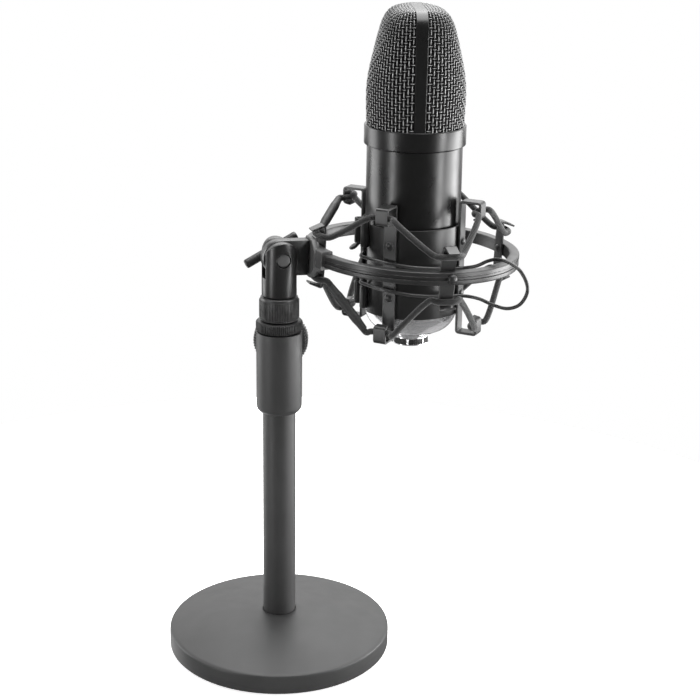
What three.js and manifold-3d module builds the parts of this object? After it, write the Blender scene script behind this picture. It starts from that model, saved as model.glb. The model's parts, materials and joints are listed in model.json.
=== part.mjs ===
// A desktop microphone: a round weighted foot, a two-tube stand, a swivel with a tilting arm,
// a ring that hangs a sprung clamp on elastic cord, and a side-address condenser microphone.
// Millimetres, +Z up. The origin is the centre of the foot's underside, +Y is the knob side.
import * as THREE from "three";
import { mergeVertices } from "three/addons/utils/BufferGeometryUtils.js";
import Module from "manifold-3d";

const wasm = await Module();
wasm.setup();

const rad = THREE.MathUtils.degToRad;

// ---------- driving dimensions ----------
const GAP = 0.3; // between pieces that touch
const BASE_R = 55.3;
const BASE_RIM_Z = 10.9; // where the rim turns into the dome
const BASE_DOME_Z = 20.1;
const PAD_R = 50;
const TUBE_R = 8.05;
const TUBE_WALL = 1.1;
const TUBE_FOOT_Z = 7;
const SLEEVE_R = 11.05;
const SLEEVE_Z = [126.5, 166.9];
const KNOB_Z = 156.8;
const KNOB_R = 13.4;
const SCREW = { r: 2, headR: 4.6 };
const MAST_R = 6.4;
const MAST_FOOT_Z = 58;
const LOCK_R = 11.2;
const LOCK_Z = [167.2, 172.4];
const NUT_R = 9.6;
const NUT_Z = [172.8, 184.5];
const STUD_R = 4.7; // 3/8 inch stand thread, drawn plain
const YOKE_R = 8.35;
const YOKE_FOOT_Z = 176;
const SLOT_WIDTH = 6.6;
const TONGUE = 5.8;
const TILT_Z = 203.3;
const PIN_R = 2.5; // the tilt bolt
const TONGUE_R = 8.6;
const HANDLE_LENGTH = 28.5;
const ARM_LENGTH = 67.1; // from the stand's axis to the microphone's axis
const ARM_YAW = rad(19.1);
const ARM_SAG = rad(2.7);
const RING_RISE = 1.2;
const RING_R = [46.8, 51.8];
const RING_HALF = 3.05; // half of the ring's height
const BLOCK_R = 53; // the outside of the block that holds the ring's ends
const RING_END = rad(16.3); // half of the arc that the block takes
const POST_R = [45.3, 46.5];
const RIVET_WAY_R = 1.25;
const POST_Z = [-16.2, 14]; // from the ring's middle plane
const CAGE_MID = 196.9;
const BRACKET_R = 25.6;
const BRACKET_HALF = 32.3;
const HOOK_R = 35.6;
const HOOK_HALF = 25.2; // where a hook's outer plate ends, from the cage's middle
const STRIP = { width: 6.6, thick: 1.2 };
const RIVET_PITCH = 25.4;
const JAW_R = [23.9, 24.7];
const JAW_Z = [173.7, 217.5];
const LINER_R = [23.15, 23.65];
const KNUCKLE = { r: 26.3, angle: rad(9.5), outer: 2.1, bore: 1.2 };
const CORD_R = 1.5;
const LIP = { out: 6.2, back: 2.3 };
const WIRE_R = 0.85;
const MIC_TURN = rad(-15.8); // the grille band against the arm
const BODY_R = 22.9;
const BODY_Z = [176.2, 254];
const COLLAR_R = 24.3;
const COLLAR_Z = [254.3, 263.5];
const GRILLE_TOP = 318;
const GRILLE_HALF = 23.6; // half of its width at the collar
const GRILLE_CORNER = 9; // radius of the bend from its front to its flat top
const CAPSULE = { r: 15.5, half: 4.5, z: 290 };
const BOARD = { half: 35, z: 216 }; // its frame between two rings
const CAP_Z = [160.3, 175.9];
const CAP_SHELF = 162.7; // where the bowl turns in to the connector's flange
const FLANGE_R = 11.1;
const XLR_R = 9.4;
const XLR_Z = [155.7, 160];
const INSERT_Z = [160.6, 167];
const PIN_CIRCLE_R = 4.9;

// ---------- materials ----------
const finish = (color, roughness, metalness) =>
  new THREE.MeshStandardMaterial({ color, roughness, metalness });
const powderCoat = () => finish(0x4a4a4b, 0.62, 0.25);
const satinBlack = () => finish(0x232425, 0.42, 0.35);
const blackSteel = () => finish(0x2b2c2d, 0.45, 0.5);
const castBlack = () => finish(0x3a3b3c, 0.5, 0.45);
const satinGrey = () => finish(0x5a5b5c, 0.45, 0.4);
const moulded = () => finish(0x2a2a2b, 0.6, 0);
const rubber = () => finish(0x1d1d1e, 0.9, 0);
const elastic = () => finish(0x3b3c3d, 0.85, 0);
const satinNickel = () => finish(0xb9babb, 0.3, 0.9);
const brightSteel = () => finish(0xc9cacc, 0.25, 1);
const brass = () => finish(0xb59a5a, 0.35, 0.9);
const board = () => finish(0x1f4d33, 0.6, 0.05);

// ---------- solids ----------
// A three.js geometry as a manifold-3d solid, turned the right way out.
function solid(geometry) {
  const bare = geometry.index ? geometry : geometry.clone();
  bare.deleteAttribute("normal");
  bare.deleteAttribute("uv");
  const merged = mergeVertices(bare, 1e-4);
  const build = (triVerts) =>
    new wasm.Manifold(
      new wasm.Mesh({ numProp: 3, vertProperties: merged.attributes.position.array, triVerts }),
    );
  const corners = Uint32Array.from(merged.index.array);
  const made = build(corners);
  if (made.volume() > 0) return made;
  for (let i = 0; i < corners.length; i += 3) {
    [corners[i + 1], corners[i + 2]] = [corners[i + 2], corners[i + 1]];
  }
  return build(corners);
}

function geometryOf(body) {
  const { vertProperties, triVerts } = body.getMesh();
  const geometry = new THREE.BufferGeometry();
  geometry.setAttribute("position", new THREE.BufferAttribute(vertProperties, 3));
  geometry.setIndex(new THREE.BufferAttribute(triVerts, 1));
  geometry.computeVertexNormals();
  return geometry;
}

function piece(name, body, material, parent) {
  const mesh = new THREE.Mesh(geometryOf(body), material);
  mesh.name = name;
  parent.add(mesh);
  return mesh;
}

const union = (first, ...others) => others.reduce((sum, other) => sum.add(other), first);
const cut = (first, ...others) => others.reduce((rest, other) => rest.subtract(other), first);

// A closed outline of [radius, z] points turned about Z.
function turned(outline, sides = 24) {
  const points = [...outline, outline[0]].map(([r, z]) => new THREE.Vector2(r, z));
  return solid(new THREE.LatheGeometry(points, sides).rotateX(Math.PI / 2));
}

const rod = (r, z0, z1, sides = 24) =>
  turned([[0, z0], [r, z0], [r, z1], [0, z1]], sides);
const pipe = (outer, inner, z0, z1, sides = 24) =>
  turned([[inner, z0], [outer, z0], [outer, z1], [inner, z1]], sides);
const box = (x, y, z) => solid(new THREE.BoxGeometry(x, y, z));

// A shape in the XY plane, extruded up from z0.
function prism(shape, z0, height, curveSegments = 12) {
  const geometry = new THREE.ExtrudeGeometry(shape, {
    depth: height,
    bevelEnabled: false,
    curveSegments,
  });
  return solid(geometry.translate(0, 0, z0));
}

const outlineOf = (points) => new THREE.Shape(points.map(([x, y]) => new THREE.Vector2(x, y)));

// A shape drawn in the XZ plane and extruded along Y, centred on it.
function upright(shape, width, curveSegments = 12) {
  return prism(shape, -width / 2, width, curveSegments).rotate([90, 0, 0]);
}

// The outline of a bent strip: its middle line's points, and its thickness.
function bent(points, thick) {
  const line = points.map(([x, y]) => new THREE.Vector2(x, y));
  const side = (sign) =>
    line.map((point, i) => {
      const before = line[i].clone().sub(line[Math.max(i - 1, 0)]).normalize();
      const after = line[Math.min(i + 1, line.length - 1)].clone().sub(line[i]).normalize();
      const along = before.clone().add(after).normalize();
      const reach = thick / 2 / Math.max(along.dot(i ? before : after), 0.3);
      return point.clone().add(new THREE.Vector2(-along.y, along.x).multiplyScalar(sign * reach));
    });
  return new THREE.Shape([...side(1), ...side(-1).reverse()]);
}

// Part of a ring between two angles.
function arcBlock(inner, outer, z0, z1, from, to, steps = 24) {
  // An arc has two sides to each curve segment.
  const shape = new THREE.Shape();
  shape.absarc(0, 0, outer, from, to, false);
  shape.absarc(0, 0, inner, to, from, true);
  return prism(shape, z0, z1 - z0, steps / 2);
}

// A toothed disc: the radius steps in and out round the rim.
function fluted(outer, depth, teeth, z0, z1) {
  const step = (2 * Math.PI) / teeth;
  const points = [];
  for (let i = 0; i < teeth; i += 1) {
    for (const [share, r] of [[0, outer], [0.35, outer], [0.7, outer - depth]]) {
      const angle = (i + share) * step;
      points.push([r * Math.cos(angle), r * Math.sin(angle)]);
    }
  }
  return prism(outlineOf(points), z0, z1 - z0);
}

// A round section carried along a smooth line through the points.
function swept(points, r, steps, sides = 8) {
  const section = new THREE.Shape();
  section.absarc(0, 0, r, 0, 2 * Math.PI, false);
  const extrudePath = new THREE.CatmullRomCurve3(points, false, "centripetal");
  return solid(
    new THREE.ExtrudeGeometry(section, {
      steps,
      extrudePath,
      bevelEnabled: false,
      curveSegments: sides / 2, // an arc has two sides to each of these
    }),
  );
}

// ---------- groups ----------
const group = new THREE.Group();
const head = new THREE.Group(); // everything that pans with the swivel
head.rotation.z = ARM_YAW;
group.add(head);
const arm = new THREE.Group(); // the arm and ring, tilted on the swivel's pin
arm.position.z = TILT_Z;
arm.rotation.y = ARM_SAG;
head.add(arm);
const ring = new THREE.Group();
ring.position.set(ARM_LENGTH, 0, RING_RISE);
arm.add(ring);
const cage = new THREE.Group(); // the sprung clamp, upright in the ring
cage.position.set(ARM_LENGTH, 0, 0);
head.add(cage);
const mic = new THREE.Group();
mic.rotation.z = MIC_TURN;
cage.add(mic);

// ---------- the stand ----------
function domeOutline() {
  const steps = 5;
  const edge = BASE_R - 0.7;
  return Array.from({ length: steps + 1 }, (_, i) => {
    const r = THREE.MathUtils.lerp(edge, TUBE_R + GAP, i / steps);
    return [r, BASE_RIM_Z + (BASE_DOME_Z - BASE_RIM_Z) * (1 - (r / edge) ** 1.7)];
  });
}

function makeStand() {
  const boltR = 3;
  const plate = turned(
    [
      [boltR + GAP, 1],
      [BASE_R - 0.8, 1],
      [BASE_R, 1.8],
      [BASE_R, BASE_RIM_Z - 0.8],
      ...domeOutline(),
      [TUBE_R + GAP, TUBE_FOOT_Z - GAP],
      [boltR + GAP, TUBE_FOOT_Z - GAP],
    ],
    40,
  );
  const headRecess = rod(6.2, 0.5, 4.3, 24);
  piece("base_plate", cut(plate, headRecess), powderCoat(), group);
  piece("base_pad", rod(PAD_R, 0, 0.7, 48), rubber(), group);
  const bolt = union(rod(5.6, 1.2, 4, 24), rod(boltR, 3.9, 20, 24));
  piece("base_bolt", bolt, brightSteel(), group);

  const tubeTop = SLEEVE_Z[1] - 10;
  const bore = TUBE_R - TUBE_WALL;
  const plug = rod(TUBE_R, TUBE_FOOT_Z, TUBE_FOOT_Z + 5);
  const socket = union(plug, pipe(TUBE_R, bore, TUBE_FOOT_Z + 4, tubeTop));
  const boltWay = rod(boltR + GAP, TUBE_FOOT_Z - 1, TUBE_FOOT_Z + 6, 24);
  piece("outer_tube", cut(socket, boltWay), powderCoat(), group);

  const [sleeveFoot, sleeveTop] = SLEEVE_Z;
  const inner = TUBE_R + GAP;
  const sleeve = turned(
    [
      [inner, sleeveFoot],
      [SLEEVE_R - 1.6, sleeveFoot],
      [SLEEVE_R - 0.5, sleeveFoot + 0.5],
      [SLEEVE_R, sleeveFoot + 1.8],
      [SLEEVE_R, sleeveTop - 0.4],
      [SLEEVE_R - 0.4, sleeveTop],
      [inner, sleeveTop],
    ],
    28,
  );
  const along = (body) => body.rotate([-90, 0, 0]).translate([0, 0, KNOB_Z]); // +Z turned to +Y
  const boss = along(rod(5, SLEEVE_R - 1.5, SLEEVE_R + 1.6, 24));
  const screwWay = along(rod(2.4, TUBE_R - 1, SLEEVE_R + 3, 20));
  const bossed = cut(union(sleeve, cut(boss, rod(inner, sleeveFoot, sleeveTop))), screwWay);
  piece("height_sleeve", bossed, powderCoat(), group);
  const bush = pipe(TUBE_R, MAST_R + GAP, tubeTop + GAP, sleeveTop - 0.2);
  piece("guide_bush", bush, moulded(), group);

  // The screw stands off the tubes: its tip stops in the sleeve's wall.
  const shank = rod(SCREW.r, TUBE_R + 0.6, SLEEVE_R + 5, 16);
  const screw = along(union(shank, rod(SCREW.headR, SLEEVE_R + 4, SLEEVE_R + 6.2, 16)));
  const knobFoot = SLEEVE_R + 1.6 + GAP;
  const grip = union(
    fluted(KNOB_R, 0.9, 24, knobFoot + 1.2, knobFoot + 8.2),
    rod(KNOB_R - 3, knobFoot, knobFoot + 9.4),
  );
  const headSeat = rod(SCREW.headR + GAP, SLEEVE_R + 3.6, 40, 16);
  const screwSeat = union(rod(SCREW.r + GAP, 0, 40, 16), headSeat);
  piece("height_knob", cut(along(grip), along(screwSeat)), moulded(), group);
  piece("knob_screw", screw, brightSteel(), group);
}

function makeMast() {
  const top = LOCK_Z[0];
  piece("inner_tube", pipe(MAST_R, MAST_R - 1.2, MAST_FOOT_Z, top - 0.2), satinBlack(), group);
  const plug = MAST_R - 1.2 - GAP;
  const stud = union(rod(plug, top - 12, top, 24), rod(STUD_R, top - 1, NUT_Z[1] - 9, 24));
  piece("mast_stud", stud, brightSteel(), group);
  const way = rod(STUD_R + GAP, LOCK_Z[0] - 1, LOCK_Z[1] + 1, 24);
  piece("lock_ring", cut(fluted(LOCK_R, 0.5, 30, ...LOCK_Z), way), moulded(), group);
}

// ---------- the swivel ----------
function makeSwivel() {
  // The nut is hollow: the stand's stud below, the yoke's shank above, held by a lip at the top.
  const shankR = 6.6;
  const nutBore = turned(
    [
      [0, NUT_Z[0] - 1],
      [STUD_R + GAP, NUT_Z[0] - 1],
      [STUD_R + GAP, 175.7],
      [shankR + GAP + 1, 175.7],
      [shankR + GAP + 1, 179.3],
      [shankR + GAP, 179.3],
      [shankR + GAP, NUT_Z[1] + 1],
      [0, NUT_Z[1] + 1],
    ],
    24,
  );
  piece("coupling_nut", cut(fluted(NUT_R, 0.35, 38, ...NUT_Z), nutBore), castBlack(), head);

  const column = turned([
    [0, YOKE_FOOT_Z],
    [shankR + 1, YOKE_FOOT_Z],
    [shankR + 1, 179],
    [shankR, 179],
    [shankR, NUT_Z[1] + 0.4],
    [YOKE_R, NUT_Z[1] + 0.4],
    [YOKE_R, TILT_Z + YOKE_R + 1],
    [0, TILT_Z + YOKE_R + 1],
  ]);
  // Both ears are round about the tilt pin.
  const ears = new THREE.Shape();
  ears.moveTo(-YOKE_R - 1, YOKE_FOOT_Z - 1);
  ears.lineTo(YOKE_R + 1, YOKE_FOOT_Z - 1);
  ears.lineTo(YOKE_R + 1, NUT_Z[1] + 4);
  ears.lineTo(YOKE_R, TILT_Z);
  ears.absarc(0, TILT_Z, YOKE_R, 0, Math.PI, false);
  ears.lineTo(-YOKE_R - 1, NUT_Z[1] + 4);
  const slot = outlineOf([
    [-YOKE_R - 2, TILT_Z + 20],
    [-YOKE_R - 2, TILT_Z - 9.3],
    [0, TILT_Z - 9.3],
    [YOKE_R + 2, NUT_Z[1] + 1.5],
    [YOKE_R + 2, TILT_Z + 20],
  ]);
  const across = (body) => body.rotate([90, 0, 0]).translate([0, 0, TILT_Z]); // +Z turned to -Y
  const pinWay = across(rod(PIN_R + GAP, -20, 20, 24));
  const headWay = across(rod(3.5, YOKE_R - 2.2, 20, 24));
  const yoke = cut(
    column.intersect(upright(ears, 2 * YOKE_R + 2, 20)),
    upright(slot, SLOT_WIDTH),
    pinWay,
    headWay,
  );
  piece("swivel_yoke", yoke, satinBlack(), head);

  const shank = across(rod(PIN_R, -YOKE_R - 2.2, YOKE_R - 1.4, 20));
  const hexHead = across(rod(3.1, YOKE_R - 2, YOKE_R - 0.9, 6));
  piece("tilt_bolt", union(shank, hexHead), satinGrey(), head);
  const washer = across(pipe(5.2, PIN_R + GAP, -YOKE_R - 1.3, -YOKE_R - GAP, 24));
  piece("tilt_washer", washer, brightSteel(), head);

  // A T bar: a hub screwed on the bolt, and a round bar across it.
  const hub = rod(4.2, -YOKE_R - 5.6, -YOKE_R - 1.6, 24);
  const seat = rod(PIN_R + GAP, -YOKE_R - 2.5, -YOKE_R - 1, 20);
  const bar = rod(2.25, -HANDLE_LENGTH / 2, HANDLE_LENGTH / 2, 16)
    .rotate([0, 90, 0])
    .translate([0, 0, -YOKE_R - 5.3])
    .rotate([0, 0, 26.5]);
  piece("tilt_handle", across(union(cut(hub, seat), bar)), castBlack(), head);
}

// ---------- the arm, the ring and its posts ----------
function makeArm() {
  const reach = ARM_LENGTH - BLOCK_R - GAP;
  const tongue = new THREE.Shape();
  tongue.moveTo(0, -TONGUE_R);
  tongue.lineTo(reach, -TONGUE_R);
  tongue.lineTo(reach, TONGUE_R);
  tongue.lineTo(0, TONGUE_R);
  tongue.absarc(0, 0, TONGUE_R, Math.PI / 2, 1.5 * Math.PI, false);
  const pinWay = rod(PIN_R + GAP, -10, 10, 24).rotate([90, 0, 0]);
  piece("tilt_arm", cut(upright(tongue, TONGUE, 16), pinWay), satinBlack(), arm);
}

function makeRing() {
  const bar = arcBlock(...RING_R, -RING_HALF, RING_HALF, -Math.PI + RING_END, Math.PI - RING_END, 44);
  const groove = arcBlock(RING_R[1] - 0.6, RING_R[1] + 1, -0.9, 0.9, -Math.PI, Math.PI * 0.999, 44);
  const rivetWay = (angle) =>
    rod(RIVET_WAY_R, 40, 60, 12).rotate([0, 90, 0]).rotate([0, 0, THREE.MathUtils.radToDeg(angle)]);
  const ways = [-90, 0, 90].map((angle) => rivetWay(rad(angle)));
  piece("suspension_ring", cut(bar, groove, ...ways), blackSteel(), ring);

  // The block holds both ends of the ring, with an eight-sided plate towards the arm.
  const blockEnd = RING_END - rad(0.4);
  const saddle = arcBlock(RING_R[0], BLOCK_R, -4.4, 4.4, Math.PI - blockEnd, Math.PI + blockEnd, 10);
  const plate = prism(octagon(9.6), 0, 2.7)
    .rotate([0, 90, 0])
    .translate([-BLOCK_R, 0, -RING_RISE]);
  piece("ring_block", cut(union(saddle, plate), rivetWay(Math.PI)), satinGrey(), ring);
}

function octagon(half) {
  const points = Array.from({ length: 8 }, (_, i) => {
    const angle = rad(22.5 + 45 * i);
    const r = half / Math.cos(rad(22.5));
    return [r * Math.cos(angle), r * Math.sin(angle)];
  });
  return outlineOf(points);
}

// A post stands inside the ring, its ends folded outwards and a little back as lips for the cord.
function makePosts() {
  const [foot, top] = POST_Z;
  const middle = (POST_R[0] + POST_R[1]) / 2;
  const thick = POST_R[1] - POST_R[0];
  const tip = middle + LIP.out;
  const line = [[tip, foot + LIP.back], [middle, foot], [middle, top], [tip, top - LIP.back]];
  const profile = bent(line, thick);
  const rightSide = [[3, foot - 2], [4, -4], [4, 4], [2.9, top + 2]];
  const leftSide = rightSide.map(([x, z]) => [-x, z]).reverse();
  const taper = outlineOf([...rightSide, ...leftSide]);
  const widths = prism(taper, 30, 40).rotate([90, 0, 0]).rotate([0, 0, 90]);
  const rivetWay = rod(RIVET_WAY_R, 40, 60, 12).rotate([0, 90, 0]);
  const post = cut(upright(profile, 10).intersect(widths), rivetWay);
  [180, -90, 0, 90].forEach((angle, i) => {
    const mesh = piece(`post_${i + 1}`, post, blackSteel(), ring);
    mesh.rotation.z = rad(angle);
    const innerFace = POST_R[0] - GAP / 2;
    const outerFace = RING_R[1] + GAP / 2;
    const innerHead = [[0, innerFace - 1.1], [1.2, innerFace - 1], [2.1, innerFace], [1.1, innerFace]];
    const outerHead = [
      [1.1, outerFace],
      [2.3, outerFace],
      [2.1, outerFace + 0.9],
      [1.2, outerFace + 1.6],
      [0, outerFace + 1.8],
    ];
    const flush = [[1.1, outerFace], [0, outerFace]]; // under the arm
    const rivet = turned([...innerHead, ...(i ? outerHead : flush)], 12);
    const stem = piece(`post_rivet_${i + 1}`, rivet.rotate([0, 90, 0]), blackSteel(), ring);
    stem.rotation.z = rad(angle);
  });
}

// ---------- the clamp ----------
function makeJaws() {
  const { r, angle, outer, bore } = KNUCKLE;
  const from = -Math.PI + angle;
  const to = rad(-2);
  const at = (body) => body.translate([r * Math.cos(from), r * Math.sin(from), 0]);
  const knuckle = (z0, z1) => at(pipe(outer, bore, z0, z1, 12));
  const shell = arcBlock(...JAW_R, ...JAW_Z, from, to, 20);
  const clearBore = at(rod(bore, JAW_Z[0] - 1, JAW_Z[1] + 3, 12));
  const jaw = cut(union(shell, knuckle(206.5, 218.8), knuckle(176.3, 187.2)), clearBore);
  piece("jaw_front", jaw, satinBlack(), cage);
  piece("jaw_back", jaw.mirror([0, 1, 0]), satinBlack(), cage);
  const liner = arcBlock(...LINER_R, JAW_Z[0] + 1, JAW_Z[1] - 1, from + rad(2), to - rad(2), 20);
  piece("jaw_liner_front", liner, rubber(), cage);
  piece("jaw_liner_back", liner.mirror([0, 1, 0]), rubber(), cage);
}

// A strip riveted up a jaw, each end turned out, back and a little in as a hook.
function makeBrackets() {
  const half = [
    [HOOK_R - 3.2, HOOK_HALF - 0.9],
    [HOOK_R, HOOK_HALF],
    [HOOK_R, BRACKET_HALF],
    [BRACKET_R, BRACKET_HALF],
  ];
  const points = [...half, ...half.map(([x, z]) => [x, -z]).reverse()];
  const strip = upright(bent(points, STRIP.thick), STRIP.width);
  const face = BRACKET_R + STRIP.thick / 2;
  const rise = [[0, -0.3], [2, -0.3], [1.7, 0.7], [0.9, 1.2], [0, 1.3]];
  const dome = turned(rise.map(([r, z]) => [r, face + z]), 10).rotate([0, 90, 0]);
  const rivets = [1, -1].map((side) => dome.translate([0, 0, (side * RIVET_PITCH) / 2]));
  const bracket = union(strip, ...rivets).translate([0, 0, CAGE_MID]);
  [-135, -45, 45, 135].forEach((angle, i) => {
    piece(`bracket_${i + 1}`, bracket, blackSteel(), cage).rotation.z = rad(angle);
  });
}

const polar = (angle, r, z) => new THREE.Vector3(r * Math.cos(rad(angle)), r * Math.sin(rad(angle)), z);

// One length of spring wire: out of the upper knuckle, round the jaw, a finger loop that straddles
// the ring, back round the jaw and into the lower knuckle.
function makeGripWires() {
  const pin = THREE.MathUtils.radToDeg(-Math.PI + KNUCKLE.angle);
  const route = [
    [pin, KNUCKLE.r, 214],
    [pin, KNUCKLE.r, 206.6],
    [pin + 2.5, 28.4, 203.6],
    [pin + 4.5, 29.6, 203],
    [-157, 29, 202.7],
    [-145, 28.4, 202.2],
    [-135, 28.2, 201.8],
    [-110, 28, 200.8],
    [-85, 28, 199.6],
    [-72, 28.8, 199],
    [-62, 32.2, 199.2],
    [-58, 38, 200.8],
    [-57, 44, 204.2],
    [-57, 49, 205.9],
    [-57, 55, 205.7],
    [-57, 62, 202.6],
    [-57, 66.4, 195],
    [-57, 63, 187],
    [-57, 56, 183.3],
    [-57, 48, 183.4],
    [-57.5, 40, 185],
    [-60, 33, 185.3],
    [-70, 28.8, 185.4],
    [-85, 28, 186],
    [-110, 28, 187.2],
    [-135, 28.2, 188.4],
    [-145, 28.4, 188.9],
    [-157, 29, 189.5],
    [pin + 4.5, 29.6, 190],
    [pin + 2.5, 28.4, 190.2],
    [pin, KNUCKLE.r, 188],
    [pin, KNUCKLE.r, 180],
  ];
  const wire = swept(route.map((point) => polar(...point)), WIRE_R, 76, 6);
  piece("grip_wire_front", wire, blackSteel(), cage);
  piece("grip_wire_back", wire.mirror([0, 1, 0]), blackSteel(), cage);
}

// A point near a post, in the cage's frame: along the post's direction, across it, up from the ring.
function postPoint(angle, out, across, up) {
  const point = new THREE.Vector3(out, across, up).applyAxisAngle(new THREE.Vector3(0, 0, 1), rad(angle));
  point.add(ring.position).applyEuler(arm.rotation).add(arm.position);
  return point.sub(cage.position);
}

function hookPoint(angle, out, across, up) {
  const point = new THREE.Vector3(out, across, CAGE_MID + up);
  return point.applyAxisAngle(new THREE.Vector3(0, 0, 1), rad(angle));
}

// The route of one elastic: outside each post and inside each hook in turn, from a joiner sleeve
// between the first post and the hook beside it, and back to the sleeve.
function elasticRoute(side) {
  const postUp = side > 0 ? POST_Z[1] - 4.5 : POST_Z[0] + 4.5;
  const hookUp = side * (HOOK_HALF + STRIP.thick / 2 + CORD_R + 0.5);
  const roundPost = [[45.2, 7.1], [47.5, 5.4], [48.8, 2.9], [48.9, 0]];
  const roundHook = [[36.4, 6.5], [34.3, 5.5], [33, 2.9], [32.8, 0]];
  const round = (place, angle, corner, up) => [
    ...corner.map(([out, across]) => place(angle, out, -across, up)),
    ...corner.slice(0, -1).reverse().map(([out, across]) => place(angle, out, across, up)),
  ];
  const first = side > 0 ? -135 : 135;
  const turn = side > 0 ? 1 : -1;
  const stops = [];
  for (let i = 0; i < 4; i += 1) {
    const hook = first + turn * 90 * i;
    stops.push([hookPoint, hook, roundHook, hookUp]);
    stops.push([postPoint, hook + turn * 45, roundPost, postUp]);
  }
  return { stops, round, turn };
}

function makeElastic(name, side) {
  // The joiner is on the stretch from post 1 to the hook behind it (upper), or in front of it (lower).
  const { stops, round, turn } = elasticRoute(side);
  const order = [stops[7], ...stops.slice(0, 7)];
  const oneWay = ([place, angle, corner, up]) => {
    const points = round(place, angle, corner, up);
    return turn > 0 ? points : points.reverse();
  };
  const loop = order.flatMap(oneWay);
  const share = [0.3, 0.66];
  const start = loop[0];
  const end = loop[loop.length - 1];
  const middle = (t) => end.clone().lerp(start, t);
  const seam = (share[0] + share[1]) / 2;
  const length = end.distanceTo(start);
  const half = GAP / 2 / length;
  const into = [middle(seam + half), middle(share[1] + 0.1)];
  const outOf = [middle(share[0] - 0.1), middle(seam - half)];
  const cord = swept([...into, ...loop, ...outOf], CORD_R, 78, 8);
  piece(`elastic_${name}`, cord, elastic(), cage);

  const sleeveLength = 12.4;
  const sleeve = turned([
    [CORD_R + 0.25, -sleeveLength / 2],
    [2.05, -sleeveLength / 2],
    [2.25, -sleeveLength / 2 + 2],
    [2.25, sleeveLength / 2 - 2],
    [1.95, sleeveLength / 2],
    [CORD_R + 0.25, sleeveLength / 2],
  ], 12);
  const joiner = piece(`elastic_joiner_${name}`, sleeve, elastic(), cage);
  joiner.position.copy(middle(seam));
  joiner.quaternion.setFromUnitVectors(new THREE.Vector3(0, 0, 1), start.clone().sub(end).normalize());
}

// ---------- the microphone ----------
// Half-width of the grille across its band, and half-depth along it, at a height.
function grilleHalf(z) {
  const share = (z - COLLAR_Z[1]) / (GRILLE_TOP - COLLAR_Z[1]);
  const width = GRILLE_HALF - 9.4 * share ** 2.4 - 3 * share ** 14;
  const bend = Math.max(0, 1 - (GRILLE_TOP - z) / GRILLE_CORNER);
  const depth = GRILLE_HALF - GRILLE_CORNER * (1 - Math.sqrt(1 - bend ** 2));
  return [width, depth];
}

function grilleForm(inset) {
  const sides = 24;
  const levels = 7;
  const positions = [];
  const index = [];
  const foot = COLLAR_Z[1] - 4;
  for (let level = 0; level <= levels; level += 1) {
    const share = 1 - (1 - level / levels) ** 1.4;
    const z = COLLAR_Z[1] + (GRILLE_TOP - COLLAR_Z[1]) * share;
    const [width, depth] = grilleHalf(z);
    const power = 2 + 1.2 * share ** 2;
    for (let side = 0; side < sides; side += 1) {
      const angle = (2 * Math.PI * side) / sides;
      const [c, s] = [Math.cos(angle), Math.sin(angle)];
      const wide = Math.abs(c / (width - inset)) ** power;
      const deep = Math.abs(s / (depth - inset)) ** power;
      const r = (wide + deep) ** (-1 / power);
      const low = level === 0 ? foot : Math.min(z, GRILLE_TOP - inset);
      positions.push(r * c, r * s, low);
    }
  }
  for (let level = 0; level < levels; level += 1) {
    for (let side = 0; side < sides; side += 1) {
      const next = (side + 1) % sides;
      const [a, b] = [level * sides + side, level * sides + next];
      index.push(a, b, a + sides, b, b + sides, a + sides);
    }
  }
  const last = levels * sides;
  positions.push(0, 0, foot, 0, 0, GRILLE_TOP - inset);
  for (let side = 0; side < sides; side += 1) {
    const next = (side + 1) % sides;
    index.push(last + sides, next, side);
    index.push(last + sides + 1, last + side, last + next);
  }
  const geometry = new THREE.BufferGeometry();
  geometry.setAttribute("position", new THREE.Float32BufferAttribute(positions, 3));
  geometry.setIndex(index);
  return solid(geometry);
}

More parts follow.
